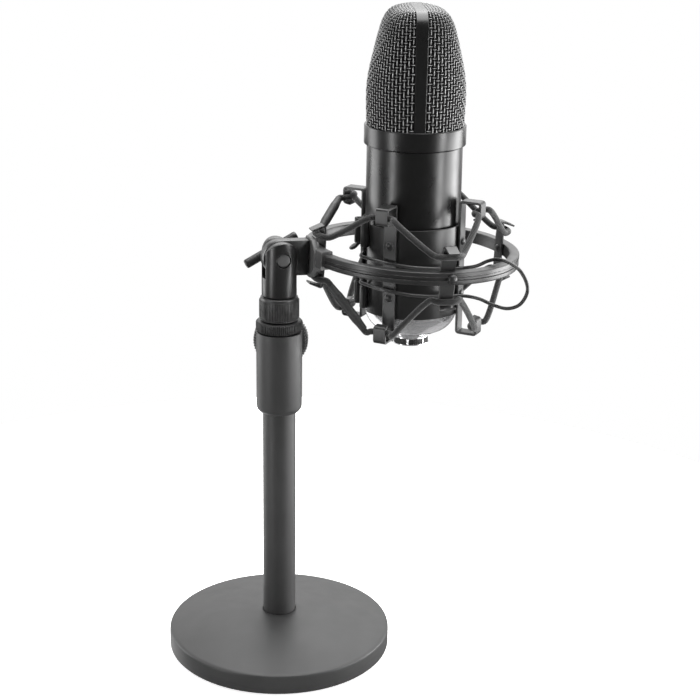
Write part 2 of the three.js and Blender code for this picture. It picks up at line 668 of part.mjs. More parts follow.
function makeMicrophone() {
  const wall = 1.2;
  piece("body_tube", pipe(BODY_R, BODY_R - wall, ...BODY_Z, 40), satinBlack(), mic);
  const collar = turned([
    [19.5, COLLAR_Z[0]],
    [COLLAR_R - 0.4, COLLAR_Z[0]],
    [COLLAR_R, COLLAR_Z[0] + 0.4],
    [COLLAR_R, COLLAR_Z[1] - 0.4],
    [COLLAR_R - 0.4, COLLAR_Z[1]],
    [19.5, COLLAR_Z[1]],
  ], 36);
  piece("collar", collar, satinBlack(), mic);

  const above = box(80, 80, 100).translate([0, 0, COLLAR_Z[1] + GAP + 50]);
  const grille = cut(grilleForm(0.5).intersect(above), grilleForm(1.6));
  piece("grille", grille, blackSteel(), mic);

  // The band runs up the front, over the top and down the back.
  const bandHalf = (lift) => {
    const steps = 10;
    return Array.from({ length: steps + 1 }, (_, i) => {
      const z = COLLAR_Z[1] + GAP + (GRILLE_TOP - COLLAR_Z[1] - GAP) * (1 - (1 - i / steps) ** 1.8);
      return [grilleHalf(z)[1] + lift, Math.min(z, GRILLE_TOP) + (z > GRILLE_TOP - 0.01 ? lift : 0)];
    });
  };
  const outer = bandHalf(0.4);
  const inner = bandHalf(-0.2);
  const mirrored = (half) => half.map(([x, z]) => [-x, z]).reverse();
  const band = outlineOf([...outer, ...mirrored(outer), ...mirrored(inner).reverse(), ...inner.reverse()]);
  piece("grille_band", upright(band, 6).rotate([0, 0, 90]), satinBlack(), mic);

  const discAcross = (body, z) => body.rotate([90, 0, 0]).translate([0, 0, z]);
  const capsule = rod(CAPSULE.r, -CAPSULE.half, CAPSULE.half, 28);
  piece("capsule", discAcross(capsule, CAPSULE.z), brass(), mic);
  const post = union(box(14, 8, 14).translate([0, 0, 266.8]), pipe(19.2, 6, 257, 260.2, 24));
  const cradle = union(post, box(24, 11, 5).translate([0, 0, 275]));
  const saddle = cut(cradle, discAcross(rod(CAPSULE.r + GAP, -10, 10, 36), CAPSULE.z));
  piece("capsule_saddle", saddle, moulded(), mic);
  piece("circuit_board", box(26, 1.6, 56).translate([0, 0, BOARD.z]), board(), mic);
  const rails = [1, -1].map((side) => box(2.4, 5, 2 * BOARD.half).translate([side * 14.6, 0, BOARD.z]));
  const rings = [-1, 1].map((end) => BOARD.z + end * (BOARD.half - 0.6));
  const hoops = rings.map((z) => pipe(21.2, 12.5, z - 1.4, z + 1.4, 24));
  piece("board_frame", union(...rails, ...hoops), satinNickel(), mic);
}

function makeConnector() {
  const [foot, top] = CAP_Z;
  const shelf = CAP_SHELF;
  const bowl = [
    [FLANGE_R, foot],
    [FLANGE_R, shelf],
    [15.6, shelf + 0.5],
    [17.6, shelf + 1.6],
    [19.5, shelf + 3.4],
    [21.2, shelf + 5.9],
    [22.4, shelf + 8.9],
    [BODY_R, top],
  ];
  const inside = [[BODY_R - 1.4, top], [BODY_R - 2.2, top - 4], [13.5, shelf + 2.2], [8.6, shelf + 2]];
  const cap = turned([...bowl, ...inside, [8.6, foot]], 30);
  piece("bottom_cap", cap, satinNickel(), mic);
  const [lip, rim] = XLR_Z;
  const seat = foot + 2.6;
  const shell = turned([[8, lip], [XLR_R, lip], [XLR_R, rim], [8.3, rim], [8.3, seat], [8, seat]], 24);
  piece("xlr_shell", shell, satinNickel(), mic);
  piece("xlr_insert", rod(7.7, ...INSERT_Z, 24), moulded(), mic);
  for (let i = 0; i < 3; i += 1) {
    const angle = rad(90 + 120 * i);
    const [x, y] = [PIN_CIRCLE_R * Math.cos(angle), PIN_CIRCLE_R * Math.sin(angle)];
    const pin = rod(1.2, lip + 0.7, INSERT_Z[0] - 0.1, 8).translate([x, y, 0]);
    piece(`xlr_pin_${i + 1}`, pin, brightSteel(), mic);
  }
}

makeStand();
makeMast();
makeSwivel();
makeArm();
makeRing();
makePosts();
makeJaws();
makeBrackets();
makeGripWires();
makeElastic("upper", 1);
makeElastic("lower", -1);
makeMicrophone();
makeConnector();

export default group;
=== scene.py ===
"""The looks of a desktop microphone on a table stand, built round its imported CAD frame.

Lengths are millimetres in the frame of the sub-assembly that a piece belongs to (stand, head, arm,
ring, cage or microphone). make() turns them into metres in the shared frame.
"""

import json
import math

import bmesh
import bpy
import numpy as np
from mathutils import Matrix, Vector


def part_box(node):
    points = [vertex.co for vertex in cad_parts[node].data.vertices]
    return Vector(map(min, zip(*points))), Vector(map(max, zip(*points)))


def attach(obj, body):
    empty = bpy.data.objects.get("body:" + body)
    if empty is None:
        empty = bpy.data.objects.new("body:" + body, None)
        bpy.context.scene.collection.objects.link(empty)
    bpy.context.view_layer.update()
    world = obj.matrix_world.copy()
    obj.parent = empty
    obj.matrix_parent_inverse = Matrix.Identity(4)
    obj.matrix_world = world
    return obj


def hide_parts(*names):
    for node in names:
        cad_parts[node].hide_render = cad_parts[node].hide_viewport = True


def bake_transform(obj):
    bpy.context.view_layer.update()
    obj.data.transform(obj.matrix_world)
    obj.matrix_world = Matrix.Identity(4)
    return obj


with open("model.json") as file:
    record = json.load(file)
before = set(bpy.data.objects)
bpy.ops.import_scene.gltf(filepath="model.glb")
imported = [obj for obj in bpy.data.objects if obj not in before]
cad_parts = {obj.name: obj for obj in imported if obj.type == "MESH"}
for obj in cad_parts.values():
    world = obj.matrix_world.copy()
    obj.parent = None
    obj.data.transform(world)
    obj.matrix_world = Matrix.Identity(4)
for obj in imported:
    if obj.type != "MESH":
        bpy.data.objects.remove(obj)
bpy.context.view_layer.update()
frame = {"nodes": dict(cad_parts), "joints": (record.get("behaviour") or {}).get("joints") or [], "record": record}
MM = 0.001
JOINTS = {joint["name"]: joint for joint in frame["joints"]}


# ---------- places and sizes from the frame ----------
def box_of(node):
    low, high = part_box(node)
    return Vector(low) / MM, Vector(high) / MM


def heights(node):
    low, high = box_of(node)
    return low.z, high.z


def middle(node):
    low, high = box_of(node)
    return (low + high) / 2


def half_width(node):
    low, high = box_of(node)
    return (high.x - low.x) / 2


def turned_size(node):
    """Foot, top and radius of a round node."""
    return *heights(node), half_width(node)


TILT_AXIS = Vector(JOINTS["tilt"]["axis"])
YAW = math.atan2(TILT_AXIS.x, -TILT_AXIS.y)
TILT_Z = JOINTS["tilt"]["pos_m"][2] / MM
MIC_AXIS = middle("collar")
ARM_LENGTH = math.hypot(MIC_AXIS.x, MIC_AXIS.y)
ARM_SAG = math.radians(2.7)
RING_RISE = 1.2
FIRST_PIN = middle("xlr_pin_1") - MIC_AXIS
MIC_YAW = math.atan2(FIRST_PIN.y, FIRST_PIN.x) - math.pi / 2
CAGE_MID = middle("bracket_1").z


def shift(x, y, z):
    return Matrix.Translation((x, y, z))


def turn_z(degrees):
    return Matrix.Rotation(math.radians(degrees), 4, "Z")


STAND = Matrix.Identity(4)
HEAD = Matrix.Rotation(YAW, 4, "Z")
ARM = HEAD @ shift(0, 0, TILT_Z) @ Matrix.Rotation(ARM_SAG, 4, "Y")
RING = ARM @ shift(ARM_LENGTH, 0, RING_RISE)
CAGE = HEAD @ shift(ARM_LENGTH, 0, 0)
MIC = shift(MIC_AXIS.x, MIC_AXIS.y, 0) @ Matrix.Rotation(MIC_YAW, 4, "Z")
ON_SIDE = Matrix.Rotation(math.pi / 2, 4, "Y")  # lays a turned piece along its place's X axis


def polar(degrees, r, z):
    angle = math.radians(degrees)
    return Vector((r * math.cos(angle), r * math.sin(angle), z))


# ---------- camera, stage and light ----------
CAMERA_AT = (0.034018, -0.750, 0.410231)  # metres
PITCH, ROLL = 0.325, 0.014  # radians: how far it looks down, and its turn about the lens
LENS = 84.67
PANELS_ABOUT = 0.6  # the panels stand round a point this far from the column to the microphone


def new_object(name, data):
    made = bpy.data.objects.new(name, data)
    bpy.context.scene.collection.objects.link(made)
    return made


def add_camera():
    """A long lens in front of the object, a little above it."""
    data = bpy.data.cameras.new("camera")
    data.sensor_width = 36
    data.lens = LENS
    data.clip_start = 0.01
    camera = new_object("camera", data)
    turn = Matrix.Rotation(math.pi / 2 - PITCH, 4, "X") @ Matrix.Rotation(ROLL, 4, "Z")
    camera.matrix_world = Matrix.Translation(CAMERA_AT) @ turn
    bpy.context.scene.camera = camera


def add_panel(name, azimuth, distance, height, size, power, aim):
    """A soft panel, in metres and watts. Azimuth runs from the camera's side towards +X."""
    data = bpy.data.lights.new(name, "AREA")
    data.shape = "RECTANGLE"
    data.size, data.size_y = size
    data.energy = power
    panel = new_object(name, data)
    angle = math.radians(azimuth)
    centre = Vector((MIC_AXIS.x * MM * PANELS_ABOUT, MIC_AXIS.y * MM * PANELS_ABOUT, 0))
    place = centre + Vector((math.sin(angle) * distance, -math.cos(angle) * distance, height))
    panel.location = place
    look = centre + Vector((0, 0, aim)) - place
    panel.rotation_euler = look.to_track_quat("-Z", "Y").to_euler()
    panel.visible_camera = False


# Strips in front for the streaks on the round parts, wide panels behind for their edges. The
# last two are under the table, seen only in what faces down: the plated cap of the microphone.
PANELS = (
    ("left_strip", -54, 0.9, 0.2, (0.16, 0.7), 3.2, 0.18),
    ("right_strip", 64, 0.9, 0.2, (0.2, 0.7), 5.5, 0.18),
    ("top_panel", 150, 0.25, 1.1, (1.1, 1.1), 28, 0.18),
    ("side_left", -112, 0.9, 0.25, (0.5, 0.8), 5.6, 0.18),
    ("side_right", 112, 0.9, 0.25, (0.5, 0.8), 6.5, 0.18),
    ("low_right", 98, 0.6, 0.09, (0.4, 0.26), 2.4, 0.09),
    ("back_wall", 180, 1.2, 0.45, (2.4, 1.0), 8.5, 0.18),
    ("back_high", 180, 1.1, 0.8, (1.2, 0.35), 3.2, 0.18),
    ("under_left", -135, 0.35, -0.19, (0.4, 0.4), 0.8, 0.165),
    ("under_right", 125, 0.35, -0.19, (0.4, 0.4), 0.14, 0.165),
)


def add_world():
    """White to the camera, dim to everything else."""
    world = bpy.data.worlds.new("studio")
    bpy.context.scene.world = world
    world.use_nodes = True
    tree = world.node_tree
    tree.nodes.clear()
    path = tree.nodes.new("ShaderNodeLightPath")
    mix = tree.nodes.new("ShaderNodeMixShader")
    tree.links.new(path.outputs["Is Camera Ray"], mix.inputs[0])
    for socket, strength in ((1, 0.1), (2, 1.0)):
        background = tree.nodes.new("ShaderNodeBackground")
        background.inputs["Color"].default_value = (1, 1, 1, 1)
        background.inputs["Strength"].default_value = strength
        tree.links.new(background.outputs[0], mix.inputs[socket])
    output = tree.nodes.new("ShaderNodeOutputWorld")
    tree.links.new(mix.outputs[0], output.inputs["Surface"])


def add_floor():
    """A round pale table top, bright enough to run into the white behind it."""
    radius, sides = 0.36, 96
    mesh = bpy.data.meshes.new("floor")
    turns = [2 * math.pi * i / sides for i in range(sides)]
    corners = [(radius * math.cos(a), radius * math.sin(a), 0) for a in turns]
    mesh.from_pydata(corners, [], [tuple(range(sides))])
    floor = new_object("floor", mesh)
    m = Nodes("floor_white")
    m.set("Base Color", (0.93, 0.93, 0.93, 1))
    m.set("Roughness", 0.9)
    m.set("Emission Color", (1, 1, 1, 1))
    m.set("Emission Strength", 0.8)
    floor.data.materials.append(m.material)
    floor.visible_glossy = False


# ---------- materials ----------
class Nodes:
    """Short calls for building one material's node tree."""

    def __init__(self, name):
        self.material = bpy.data.materials.new(name)
        self.material.use_nodes = True
        self.tree = self.material.node_tree
        self.shader = self.tree.nodes["Principled BSDF"]
        self.place = self.tree.nodes.new("ShaderNodeTexCoord")

    def put(self, kind, inputs=None, **settings):
        node = self.tree.nodes.new("ShaderNode" + kind)
        for key, value in settings.items():
            setattr(node, key, value)
        for key, value in (inputs or {}).items():
            self.feed(node, key, value)
        return node

    def feed(self, node, key, value):
        if hasattr(value, "is_output"):
            self.tree.links.new(value, node.inputs[key])
        else:
            node.inputs[key].default_value = value

    def noise(self, per_mm, detail=2.0, stretch=(1, 1, 1)):
        scale = self.put("Mapping", {0: self.place.outputs["Object"]})
        scale.inputs["Scale"].default_value = stretch
        inputs = {"Vector": scale.outputs[0], "Scale": per_mm / MM, "Detail": detail}
        return self.put("TexNoise", inputs).outputs["Fac"]

    def span(self, value, low, high, start=0.3, end=0.7):
        inputs = {0: value, 1: start, 2: end, 3: low, 4: high}
        return self.put("MapRange", inputs).outputs[0]

    def math(self, operation, first, second=0.0):
        return self.put("Math", {0: first, 1: second}, operation=operation).outputs[0]

    def blend(self, share, first, second):
        """A mix of two colours, each an (r, g, b) or another node's output."""
        mix = self.put("Mix", {0: share}, data_type="RGBA")
        for key, value in ((6, first), (7, second)):
            self.feed(mix, key, (*value, 1) if isinstance(value, tuple) else value)
        return mix.outputs[2]

    def bump(self, height, millimetres, strength=1.0, under=None):
        inputs = {"Height": height, "Distance": millimetres * MM, "Strength": strength}
        if under:
            inputs["Normal"] = under
        return self.put("Bump", inputs).outputs[0]

    def edge(self, radius):
        """Near 1 on a sharp outer edge, 0 on flat faces."""
        rounded_normal = self.put("Bevel", {"Radius": radius * MM}, samples=4)
        flat = self.put("NewGeometry")
        inputs = {0: rounded_normal.outputs[0], 1: flat.outputs["Normal"]}
        same = self.put("VectorMath", inputs, operation="DOT_PRODUCT")
        return self.span(same.outputs["Value"], 1.0, 0.0, 0.72, 0.97)

    def set(self, socket, value):
        self.feed(self.shader, socket, value)


def grey(level):
    return (level, level, level)


def painted(name, level, roughness, grain, depth, mottle, wear_and_highlight):
    """Paint or powder coat: a fine orange-peel bump, faint mottling, and sharp edges painted lighter, partly as
    wear and partly as a painted highlight.
    """
    m = Nodes(name)
    cloud = m.span(m.noise(0.06, 4.0), 0, 1)
    colour = m.blend(cloud, grey(level * (1 - mottle)), grey(level * (1 + mottle)))
    if wear_and_highlight:
        # Sharp edges painted lighter: partly wear, partly a painted highlight along the edge.
        edge_wear_and_highlight = m.math("MULTIPLY", m.edge(0.5), m.span(m.noise(0.35, 3.0), 0.15, wear_and_highlight, 0.35, 0.75))
        colour = m.blend(edge_wear_and_highlight, colour, grey(min(level * 5 + 0.18, 0.6)))
    m.set("Base Color", colour)
    m.set("Roughness", m.span(m.noise(0.12, 1.0), roughness - 0.03, roughness + 0.03))
    if depth:
        m.set("Normal", m.bump(m.noise(grain, 2.0), depth))
    return m.material


def brushed(name, colour, roughness, stretch=(1, 1, 1), depth=0.004, metallic=1.0, vary=0.06):
    """Plated or turned metal, with fine marks along one direction."""
    m = Nodes(name)
    marks = m.noise(1.4, 3.0, stretch)
    dark = tuple(channel * 0.86 for channel in colour)
    m.set("Base Color", m.blend(m.span(m.noise(0.08, 4.0), 0, 1), dark, colour))
    m.set("Roughness", m.span(marks, roughness - vary, roughness + vary))
    m.set("Normal", m.bump(marks, depth))
    m.set("Metallic", metallic)
    return m.material


def moulded(name, level, roughness, grain=3.0, depth=0.02):
    """Moulded plastic with a fine spark texture."""
    m = Nodes(name)
    speck = m.noise(grain, 3.0)
    cloud = m.span(m.noise(0.1, 3.0), 0, 1)
    m.set("Base Color", m.blend(cloud, grey(level * 0.85), grey(level * 1.15)))
    m.set("Roughness", m.span(speck, roughness - 0.06, roughness + 0.06))
    m.set("Normal", m.bump(speck, depth))
    return m.material


def braided(name, level):
    """The cord's woven cover: two sets of strands that cross on the bias, from the UV map."""
    m = Nodes(name)
    parts = m.put("SeparateXYZ", {0: m.place.outputs["UV"]})
    round_it = m.math("MULTIPLY", parts.outputs[0], 8.0)
    along = m.math("MULTIPLY", parts.outputs[1], 0.9)
    waves = []
    for sign in (1.0, -1.0):
        slant = m.math("ADD", round_it, m.math("MULTIPLY", along, sign))
        turn = m.math("MULTIPLY", slant, 2 * math.pi)
        waves.append(m.math("ABSOLUTE", m.math("SINE", m.math("MULTIPLY", turn, 0.5))))
    strand = m.math("MAXIMUM", waves[0], waves[1])
    fuzz = m.noise(2.5, 3.0)
    colour = m.blend(m.span(strand, 0, 1, 0.5, 1.0), grey(level * 0.4), grey(level * 1.25))
    m.set("Base Color", m.blend(m.span(fuzz, 0, 0.5), colour, grey(level * 0.6)))
    m.set("Roughness", 0.82)
    m.set("Sheen Weight", 0.25)
    m.set("Normal", m.bump(fuzz, 0.05, 0.6, m.bump(strand, 0.22)))
    return m.material


def woven_wire(name):
    """Black wire with a painted highlight along its ridges, where it stands out of the weave."""
    m = Nodes(name)
    ridge_highlight = m.put("Attribute", attribute_name="ridge_highlight").outputs["Fac"]
    patchy_highlight = m.math("MULTIPLY", ridge_highlight, m.span(m.noise(0.2, 3.0), 0.7, 1.0))
    m.set("Base Color", m.blend(patchy_highlight, grey(0.006), grey(0.6)))
    m.set("Metallic", m.span(patchy_highlight, 0, 0.25, 0, 1))
    m.set("Roughness", m.span(patchy_highlight, 0.5, 0.3, 0, 1))
    m.set("Normal", m.bump(m.noise(2.0), 0.004))
    return m.material


def circuit_green(name):
    m = Nodes(name)
    track = m.span(m.noise(0.25, 1.0, (1, 1, 0.3)), 0, 1, 0.49, 0.51)
    m.set("Base Color", m.blend(track, (0.012, 0.06, 0.03), (0.025, 0.11, 0.05)))
    m.set("Normal", m.bump(track, 0.03))
    m.set("Roughness", 0.38)
    return m.material


# Each row is a name, the function that makes it, and what that function takes after the name.
FINISHES = {
    name: finish(name, *settings)
    for name, finish, *settings in (
        # For painted(), the last number lightens sharp edges: partly wear, partly a painted highlight.
        ("powder_coat", painted, 0.026, 0.5, 2.4, 0.014, 0.08, 0.3),
        ("black_tube", painted, 0.012, 0.32, 1.6, 0.006, 0.1, 0.3),
        ("cast_black", painted, 0.018, 0.4, 1.5, 0.012, 0.15, 0.7),
        ("swivel_black", painted, 0.011, 0.33, 1.6, 0.006, 0.12, 0.8),
        # satin_grey, on the ring's block and the tilt bolt: a lighter copy of the black paint, painted light
        # standing in for the light that falls on them.
        ("satin_grey", painted, 0.06, 0.4, 1.5, 0.01, 0.12, 0.7),
        ("black_steel", painted, 0.019, 0.36, 1.8, 0.006, 0.12, 0.95),
        ("jaw_black", painted, 0.012, 0.34, 1.8, 0.006, 0.1, 0.5),
        ("mic_black", painted, 0.007, 0.3, 2.6, 0.0, 0.08, 0.0),
        ("wire_steel", painted, 0.03, 0.3, 1.2, 0.006, 0.15, 0.0),
        ("grille_wire", woven_wire),
        ("black_moulding", moulded, 0.022, 0.5),
        ("connector_moulding", moulded, 0.012, 0.42),
        ("rubber", moulded, 0.012, 0.8, 1.5, 0.05),
        ("liner", moulded, 0.012, 0.92, 1.2, 0.12),
        ("elastic", braided, 0.014),
        ("elastic_joiner", moulded, 0.028, 0.55, 1.2, 0.03),
        ("screw_steel", brushed, (0.62, 0.62, 0.63), 0.32),
        ("nickel", brushed, (0.8, 0.8, 0.81), 0.22, (1, 1, 8), 0.0003, 0.85, 0.02),
        ("pin_metal", brushed, (0.78, 0.78, 0.79), 0.25, (1, 1, 0.2)),
        ("capsule_gold", brushed, (0.75, 0.56, 0.22), 0.3),
        ("board_green", circuit_green),
    )
}
SLOT_OF = {part["node"]: part["material_slot"] for part in frame["record"]["subparts"]}


# ---------- mesh building ----------
def settle(mesh, sharp=35.0):
    """Points the faces outwards and shades smooth, with hard creases left sharp."""
    work = bmesh.new()
    work.from_mesh(mesh)
    bmesh.ops.remove_doubles(work, verts=work.verts, dist=1e-7)
    bmesh.ops.recalc_face_normals(work, faces=work.faces)
    work.to_mesh(mesh)
    work.free()
    mesh.shade_smooth()
    mesh.set_sharp_from_angle(angle=math.radians(sharp))


def make(name, vertices, faces, place=STAND, uv=None, sharp=35.0, ridge_highlight=None):
    """A mesh from points in millimetres in the frame that place gives."""
    mesh = bpy.data.meshes.new(name)
    mesh.from_pydata([tuple(v) for v in vertices], [], faces)
    if uv is not None:
        layer = mesh.uv_layers.new(name="UVMap")
        layer.data.foreach_set("uv", np.asarray(uv, np.float32).ravel())
    # The grille wires' painted highlight, one value per point.
    if ridge_highlight is not None:
        mesh.attributes.new("ridge_highlight", "FLOAT", "POINT").data.foreach_set("value", ridge_highlight)
    mesh.transform(Matrix.Scale(MM, 4) @ place)
    settle(mesh, sharp)
    return new_object(name, mesh)


def loft(name, loops, place=STAND, closed=False, sharp=35.0):
    """A skin over loops of equal length. It is capped at both ends, or closed on itself."""
    around = len(loops[0])
    vertices = [point for loop in loops for point in loop]
    faces = []
    spans = len(loops) if closed else len(loops) - 1
    for i in range(spans):
        here, there = i * around, (i + 1) % len(loops) * around
        for j in range(around):
            k = (j + 1) % around
            faces.append((here + j, here + k, there + k, there + j))
    if not closed:
        faces.append(tuple(range(around))[::-1])
        faces.append(tuple(range(len(vertices) - around, len(vertices))))
    return make(name, vertices, faces, place, None, sharp)


def rounded(outline, closed=True, steps=4):
    """The outline with corners turned into arcs. A point may have a third number, its radius."""
    points = [Vector(p[:2]) for p in outline]
    radii = [p[2] if len(p) > 2 else 0.0 for p in outline]
    count = len(points)
    result = []
    for i, (corner, radius) in enumerate(zip(points, radii)):
        if radius <= 0 or (not closed and i in (0, count - 1)):
            result.append(corner)
            continue
        before, after = points[i - 1] - corner, points[(i + 1) % count] - corner
        reach = min(radius, before.length * 0.48, after.length * 0.48)
        start, end = corner + before.normalized() * reach, corner + after.normalized() * reach
        for k in range(steps + 1):
            t = k / steps
            result.append(start * (1 - t) ** 2 + corner * 2 * t * (1 - t) + end * t**2)
    return [tuple(p) for p in result]


def circle(radius, z, sides, flute=None):
    """A level loop. flute gives how far the rim steps in at each angle."""
    loop = []
    for i in range(sides):
        angle = 2 * math.pi * i / sides
        r = radius - (flute(angle) if flute else 0)
        loop.append((r * math.cos(angle), r * math.sin(angle), z))
    return loop


def lathe(name, outline, place=STAND, closed=True, sides=96, sharp=35.0):
    """An outline of (radius, z, corner radius) turned about Z. An open one is capped."""
    loops = [circle(max(r, 0.01), z, sides) for r, z in rounded(outline, closed)]
    return loft(name, loops, place, closed, sharp)


def fluted(name, levels, teeth, depth, width, place=STAND, closed=True, per_tooth=10):
    """A toothed turning. Levels are (radius, z, share of the tooth depth)."""

    def flute(share):
        def step_in(angle):
            phase = (angle * teeth / (2 * math.pi)) % 1.0
            edge = min(abs(phase - 0.5) / (width / 2), 1.0)
            return depth * share * (1 - edge**4)

        return step_in

    loops = [circle(r, z, teeth * per_tooth, flute(share)) for r, z, share in levels]
    return loft(name, loops, place, closed, 40)


def slab(name, outline, low, high, place=STAND, bevel=0.4):
    """A flat outline in XY, extruded from low to high, its long edges eased."""
    loops = [[(x, y, z) for x, y in outline] for z in (low, high)]
    made = loft(name, loops, place)
    if bevel:
        ease(made, bevel)
    return made


def apply_modifiers(piece):
    graph = bpy.context.evaluated_depsgraph_get()
    mesh = bpy.data.meshes.new_from_object(piece.evaluated_get(graph))
    piece.modifiers.clear()
    piece.data = mesh


def ease(piece, width, angle=38.0):
    modifier = piece.modifiers.new("ease", "BEVEL")
    modifier.width = width * MM
    modifier.segments = 2
    modifier.limit_method = "ANGLE"
    modifier.angle_limit = math.radians(angle)
    apply_modifiers(piece)
    settle(piece.data)


def combine(piece, operation, *tools):
    for tool in tools:
        modifier = piece.modifiers.new("combine", "BOOLEAN")
        modifier.operation = operation
        modifier.object = tool
        modifier.solver = "EXACT"
    apply_modifiers(piece)
    for tool in tools:
        bpy.data.objects.remove(tool)
    settle(piece.data)


def arc_sweep(name, section, start, end, place=STAND, step=3.0):
    """A closed section of (radius, z) carried round Z from one angle to another, in degrees."""
    count = max(2, round(abs(end - start) / step))
    loops = []
    for i in range(count + 1):
        angle = math.radians(start + (end - start) * i / count)
        loops.append([(r * math.cos(angle), r * math.sin(angle), z) for r, z in section])
    return loft(name, loops, place)


def strip(name, path, width, thick, place=STAND, round_edge=0.25):
    """A bent strip: a path of (x, z) points, with its width along Y at each height."""
    line = [Vector(p) for p in path]
    loops = []
    half = thick / 2
    for i, point in enumerate(line):
        before = (line[i] - line[max(i - 1, 0)]).normalized()
        after = (line[min(i + 1, len(line) - 1)] - line[i]).normalized()
        along = (before + after).normalized()
        reach = half / max(along.dot(before if i else after), 0.4)
        side = Vector((-along.y, along.x)) * reach / half
        shrink = 0.3 if i in (0, len(line) - 1) else 0.0  # eases the strip's two ends
        w = width(point.y) / 2 - shrink
        t = half - shrink * 0.6
        e = round_edge
        corners = [(w - e, t), (w, t - e), (w, e - t), (w - e, -t)]
        section = corners + [(-y, s) for y, s in reversed(corners)]
        loops.append([(point.x + side.x * s, y, point.y + side.y * s) for y, s in section])
    return loft(name, loops, place, sharp=40)


def smooth_line(points, step):
    """Points about step apart on a centripetal Catmull-Rom curve through the given ones."""
    knots = [Vector(p) for p in points]
    knots = [2 * knots[0] - knots[1], *knots, 2 * knots[-1] - knots[-2]]
    line = []
    for a, b, c, d in zip(knots, knots[1:], knots[2:], knots[3:]):
        t0 = 0.0
        t1 = t0 + math.sqrt((b - a).length)
        t2 = t1 + math.sqrt((c - b).length)
        t3 = t2 + math.sqrt((d - c).length)
        count = max(1, round((c - b).length / step))
        for k in range(count):
            t = t1 + (t2 - t1) * k / count
            ab = a.lerp(b, (t - t0) / (t1 - t0))
            bc = b.lerp(c, (t - t1) / (t2 - t1))
            cd = c.lerp(d, (t - t2) / (t3 - t2))
            abc = ab.lerp(bc, (t - t0) / (t2 - t0))
            bcd = bc.lerp(cd, (t - t1) / (t3 - t1))
            line.append(abc.lerp(bcd, (t - t1) / (t2 - t1)))
    line.append(knots[-2])
    return line


def sweep(name, line, radius, sides=12, place=STAND, dome=True):
    """A round bar along a line, its ends domed. The UV map holds turns and millimetres."""
    tangents = []
    for i in range(len(line)):
        tangents.append((line[min(i + 1, len(line) - 1)] - line[max(i - 1, 0)]).normalized())
    normal = tangents[0].orthogonal().normalized()
    rings = []
    length = 0.0
    for i, (point, tangent) in enumerate(zip(line, tangents)):
        if i:
            length += (point - line[i - 1]).length
            normal = (normal - tangent * normal.dot(tangent)).normalized()
        rings.append((point, tangent, normal.copy(), length, radius))
    if dome:
        first, last = rings[0], rings[-1]
        caps = [(0.35, 0.94), (0.75, 0.66), (0.95, 0.3)]
        for out, narrow in caps:
            p, t, n, at, _ = first
            rings.insert(0, (p - t * radius * out, t, n, at, radius * narrow))
            p, t, n, at, _ = last
            rings.append((p + t * radius * out, t, n, at, radius * narrow))
    vertices, faces, uv = [], [], []
    for point, tangent, across, _, r in rings:
        other = tangent.cross(across)
        for j in range(sides):
            angle = 2 * math.pi * j / sides
            vertices.append(point + across * r * math.cos(angle) + other * r * math.sin(angle))
    for i in range(len(rings) - 1):
        for j in range(sides):
            k = (j + 1) % sides
            low, high = i * sides, (i + 1) * sides
            faces.append((low + j, low + k, high + k, high + j))
            v0, v1 = rings[i][3], rings[i + 1][3]
            uv += [(j / sides, v0), ((j + 1) / sides, v0), ((j + 1) / sides, v1), (j / sides, v1)]
    last_ring = (len(rings) - 1) * sides
    faces.append(tuple(range(sides))[::-1])
    faces.append(tuple(range(last_ring, last_ring + sides)))
    uv += [(0.5, 0.0)] * (2 * sides)
    return make(name, vertices, faces, place, uv)


def finish_piece(piece, body, slot, *nodes):
    """Gives a piece the material of a slot and its body, and hides the CAD nodes that it stands for."""
    piece.data.materials.clear()
    piece.data.materials.append(FINISHES[slot])
    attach(piece, body)
    if nodes:
        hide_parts(*nodes)


def replace(piece, body, node):
    finish_piece(piece, body, SLOT_OF[node], node)


# ---------- the stand ----------
GAP = 0.3
TUBE_WALL, MAST_WALL = 1.1, 1.2
TUBE_R = half_width("outer_tube")
KNOB_Z = JOINTS["height_knob_turn"]["pos_m"][2] / MM
TO_BACK = shift(0, 0, KNOB_Z) @ Matrix.Rotation(math.radians(-90), 4, "X")


def make_foot():
    """A heavy plate that crowns gently up to the tube, and the pad under it."""
    low, top, base_r = turned_size("base_plate")
    rim_z = 10.9
    bolt_way, well_z = 3.3, 6.7
    edge = base_r - 0.35
    inner = TUBE_R + GAP
    rise = top - rim_z
    dome = []
    for i in range(29):
        r = edge + (inner + 0.4 - edge) * i / 28
        dome.append((r, rim_z + rise * (1 - (r / edge) ** 1.7)))
    outline = [(bolt_way, low), (base_r - 1.0, low, 0.5), (base_r, low + 1.0, 0.5)]
    outline += [(base_r, rim_z - 1.3), (base_r - 0.06, rim_z - 0.75), (base_r - 0.18, rim_z - 0.3)]
    outline += [*dome, (inner, top - 0.5), (inner, well_z), (bolt_way, well_z)]
    replace(lathe("foot", outline, sides=160, sharp=50), "stand", "base_plate")
    low, high, r = turned_size("base_pad")
    pad = [(1, low), (r, low, 0.3), (r, high, 0.2), (1, high)]
    replace(lathe("foot_pad", pad), "stand", "base_pad")


def make_tubes():
    low, high = heights("outer_tube")
    bore = TUBE_R - TUBE_WALL
    outer = [(bore, low), (TUBE_R, low), (TUBE_R, high, 0.4), (bore, high, 0.3)]
    replace(lathe("outer_tube_smooth", outer), "stand", "outer_tube")
    low, high, r = turned_size("inner_tube")
    bore = r - MAST_WALL
    inner = [(bore, low), (r, low, 0.4), (r, high, 0.3), (bore, high)]
    replace(lathe("inner_tube_smooth", inner), "mast", "inner_tube")


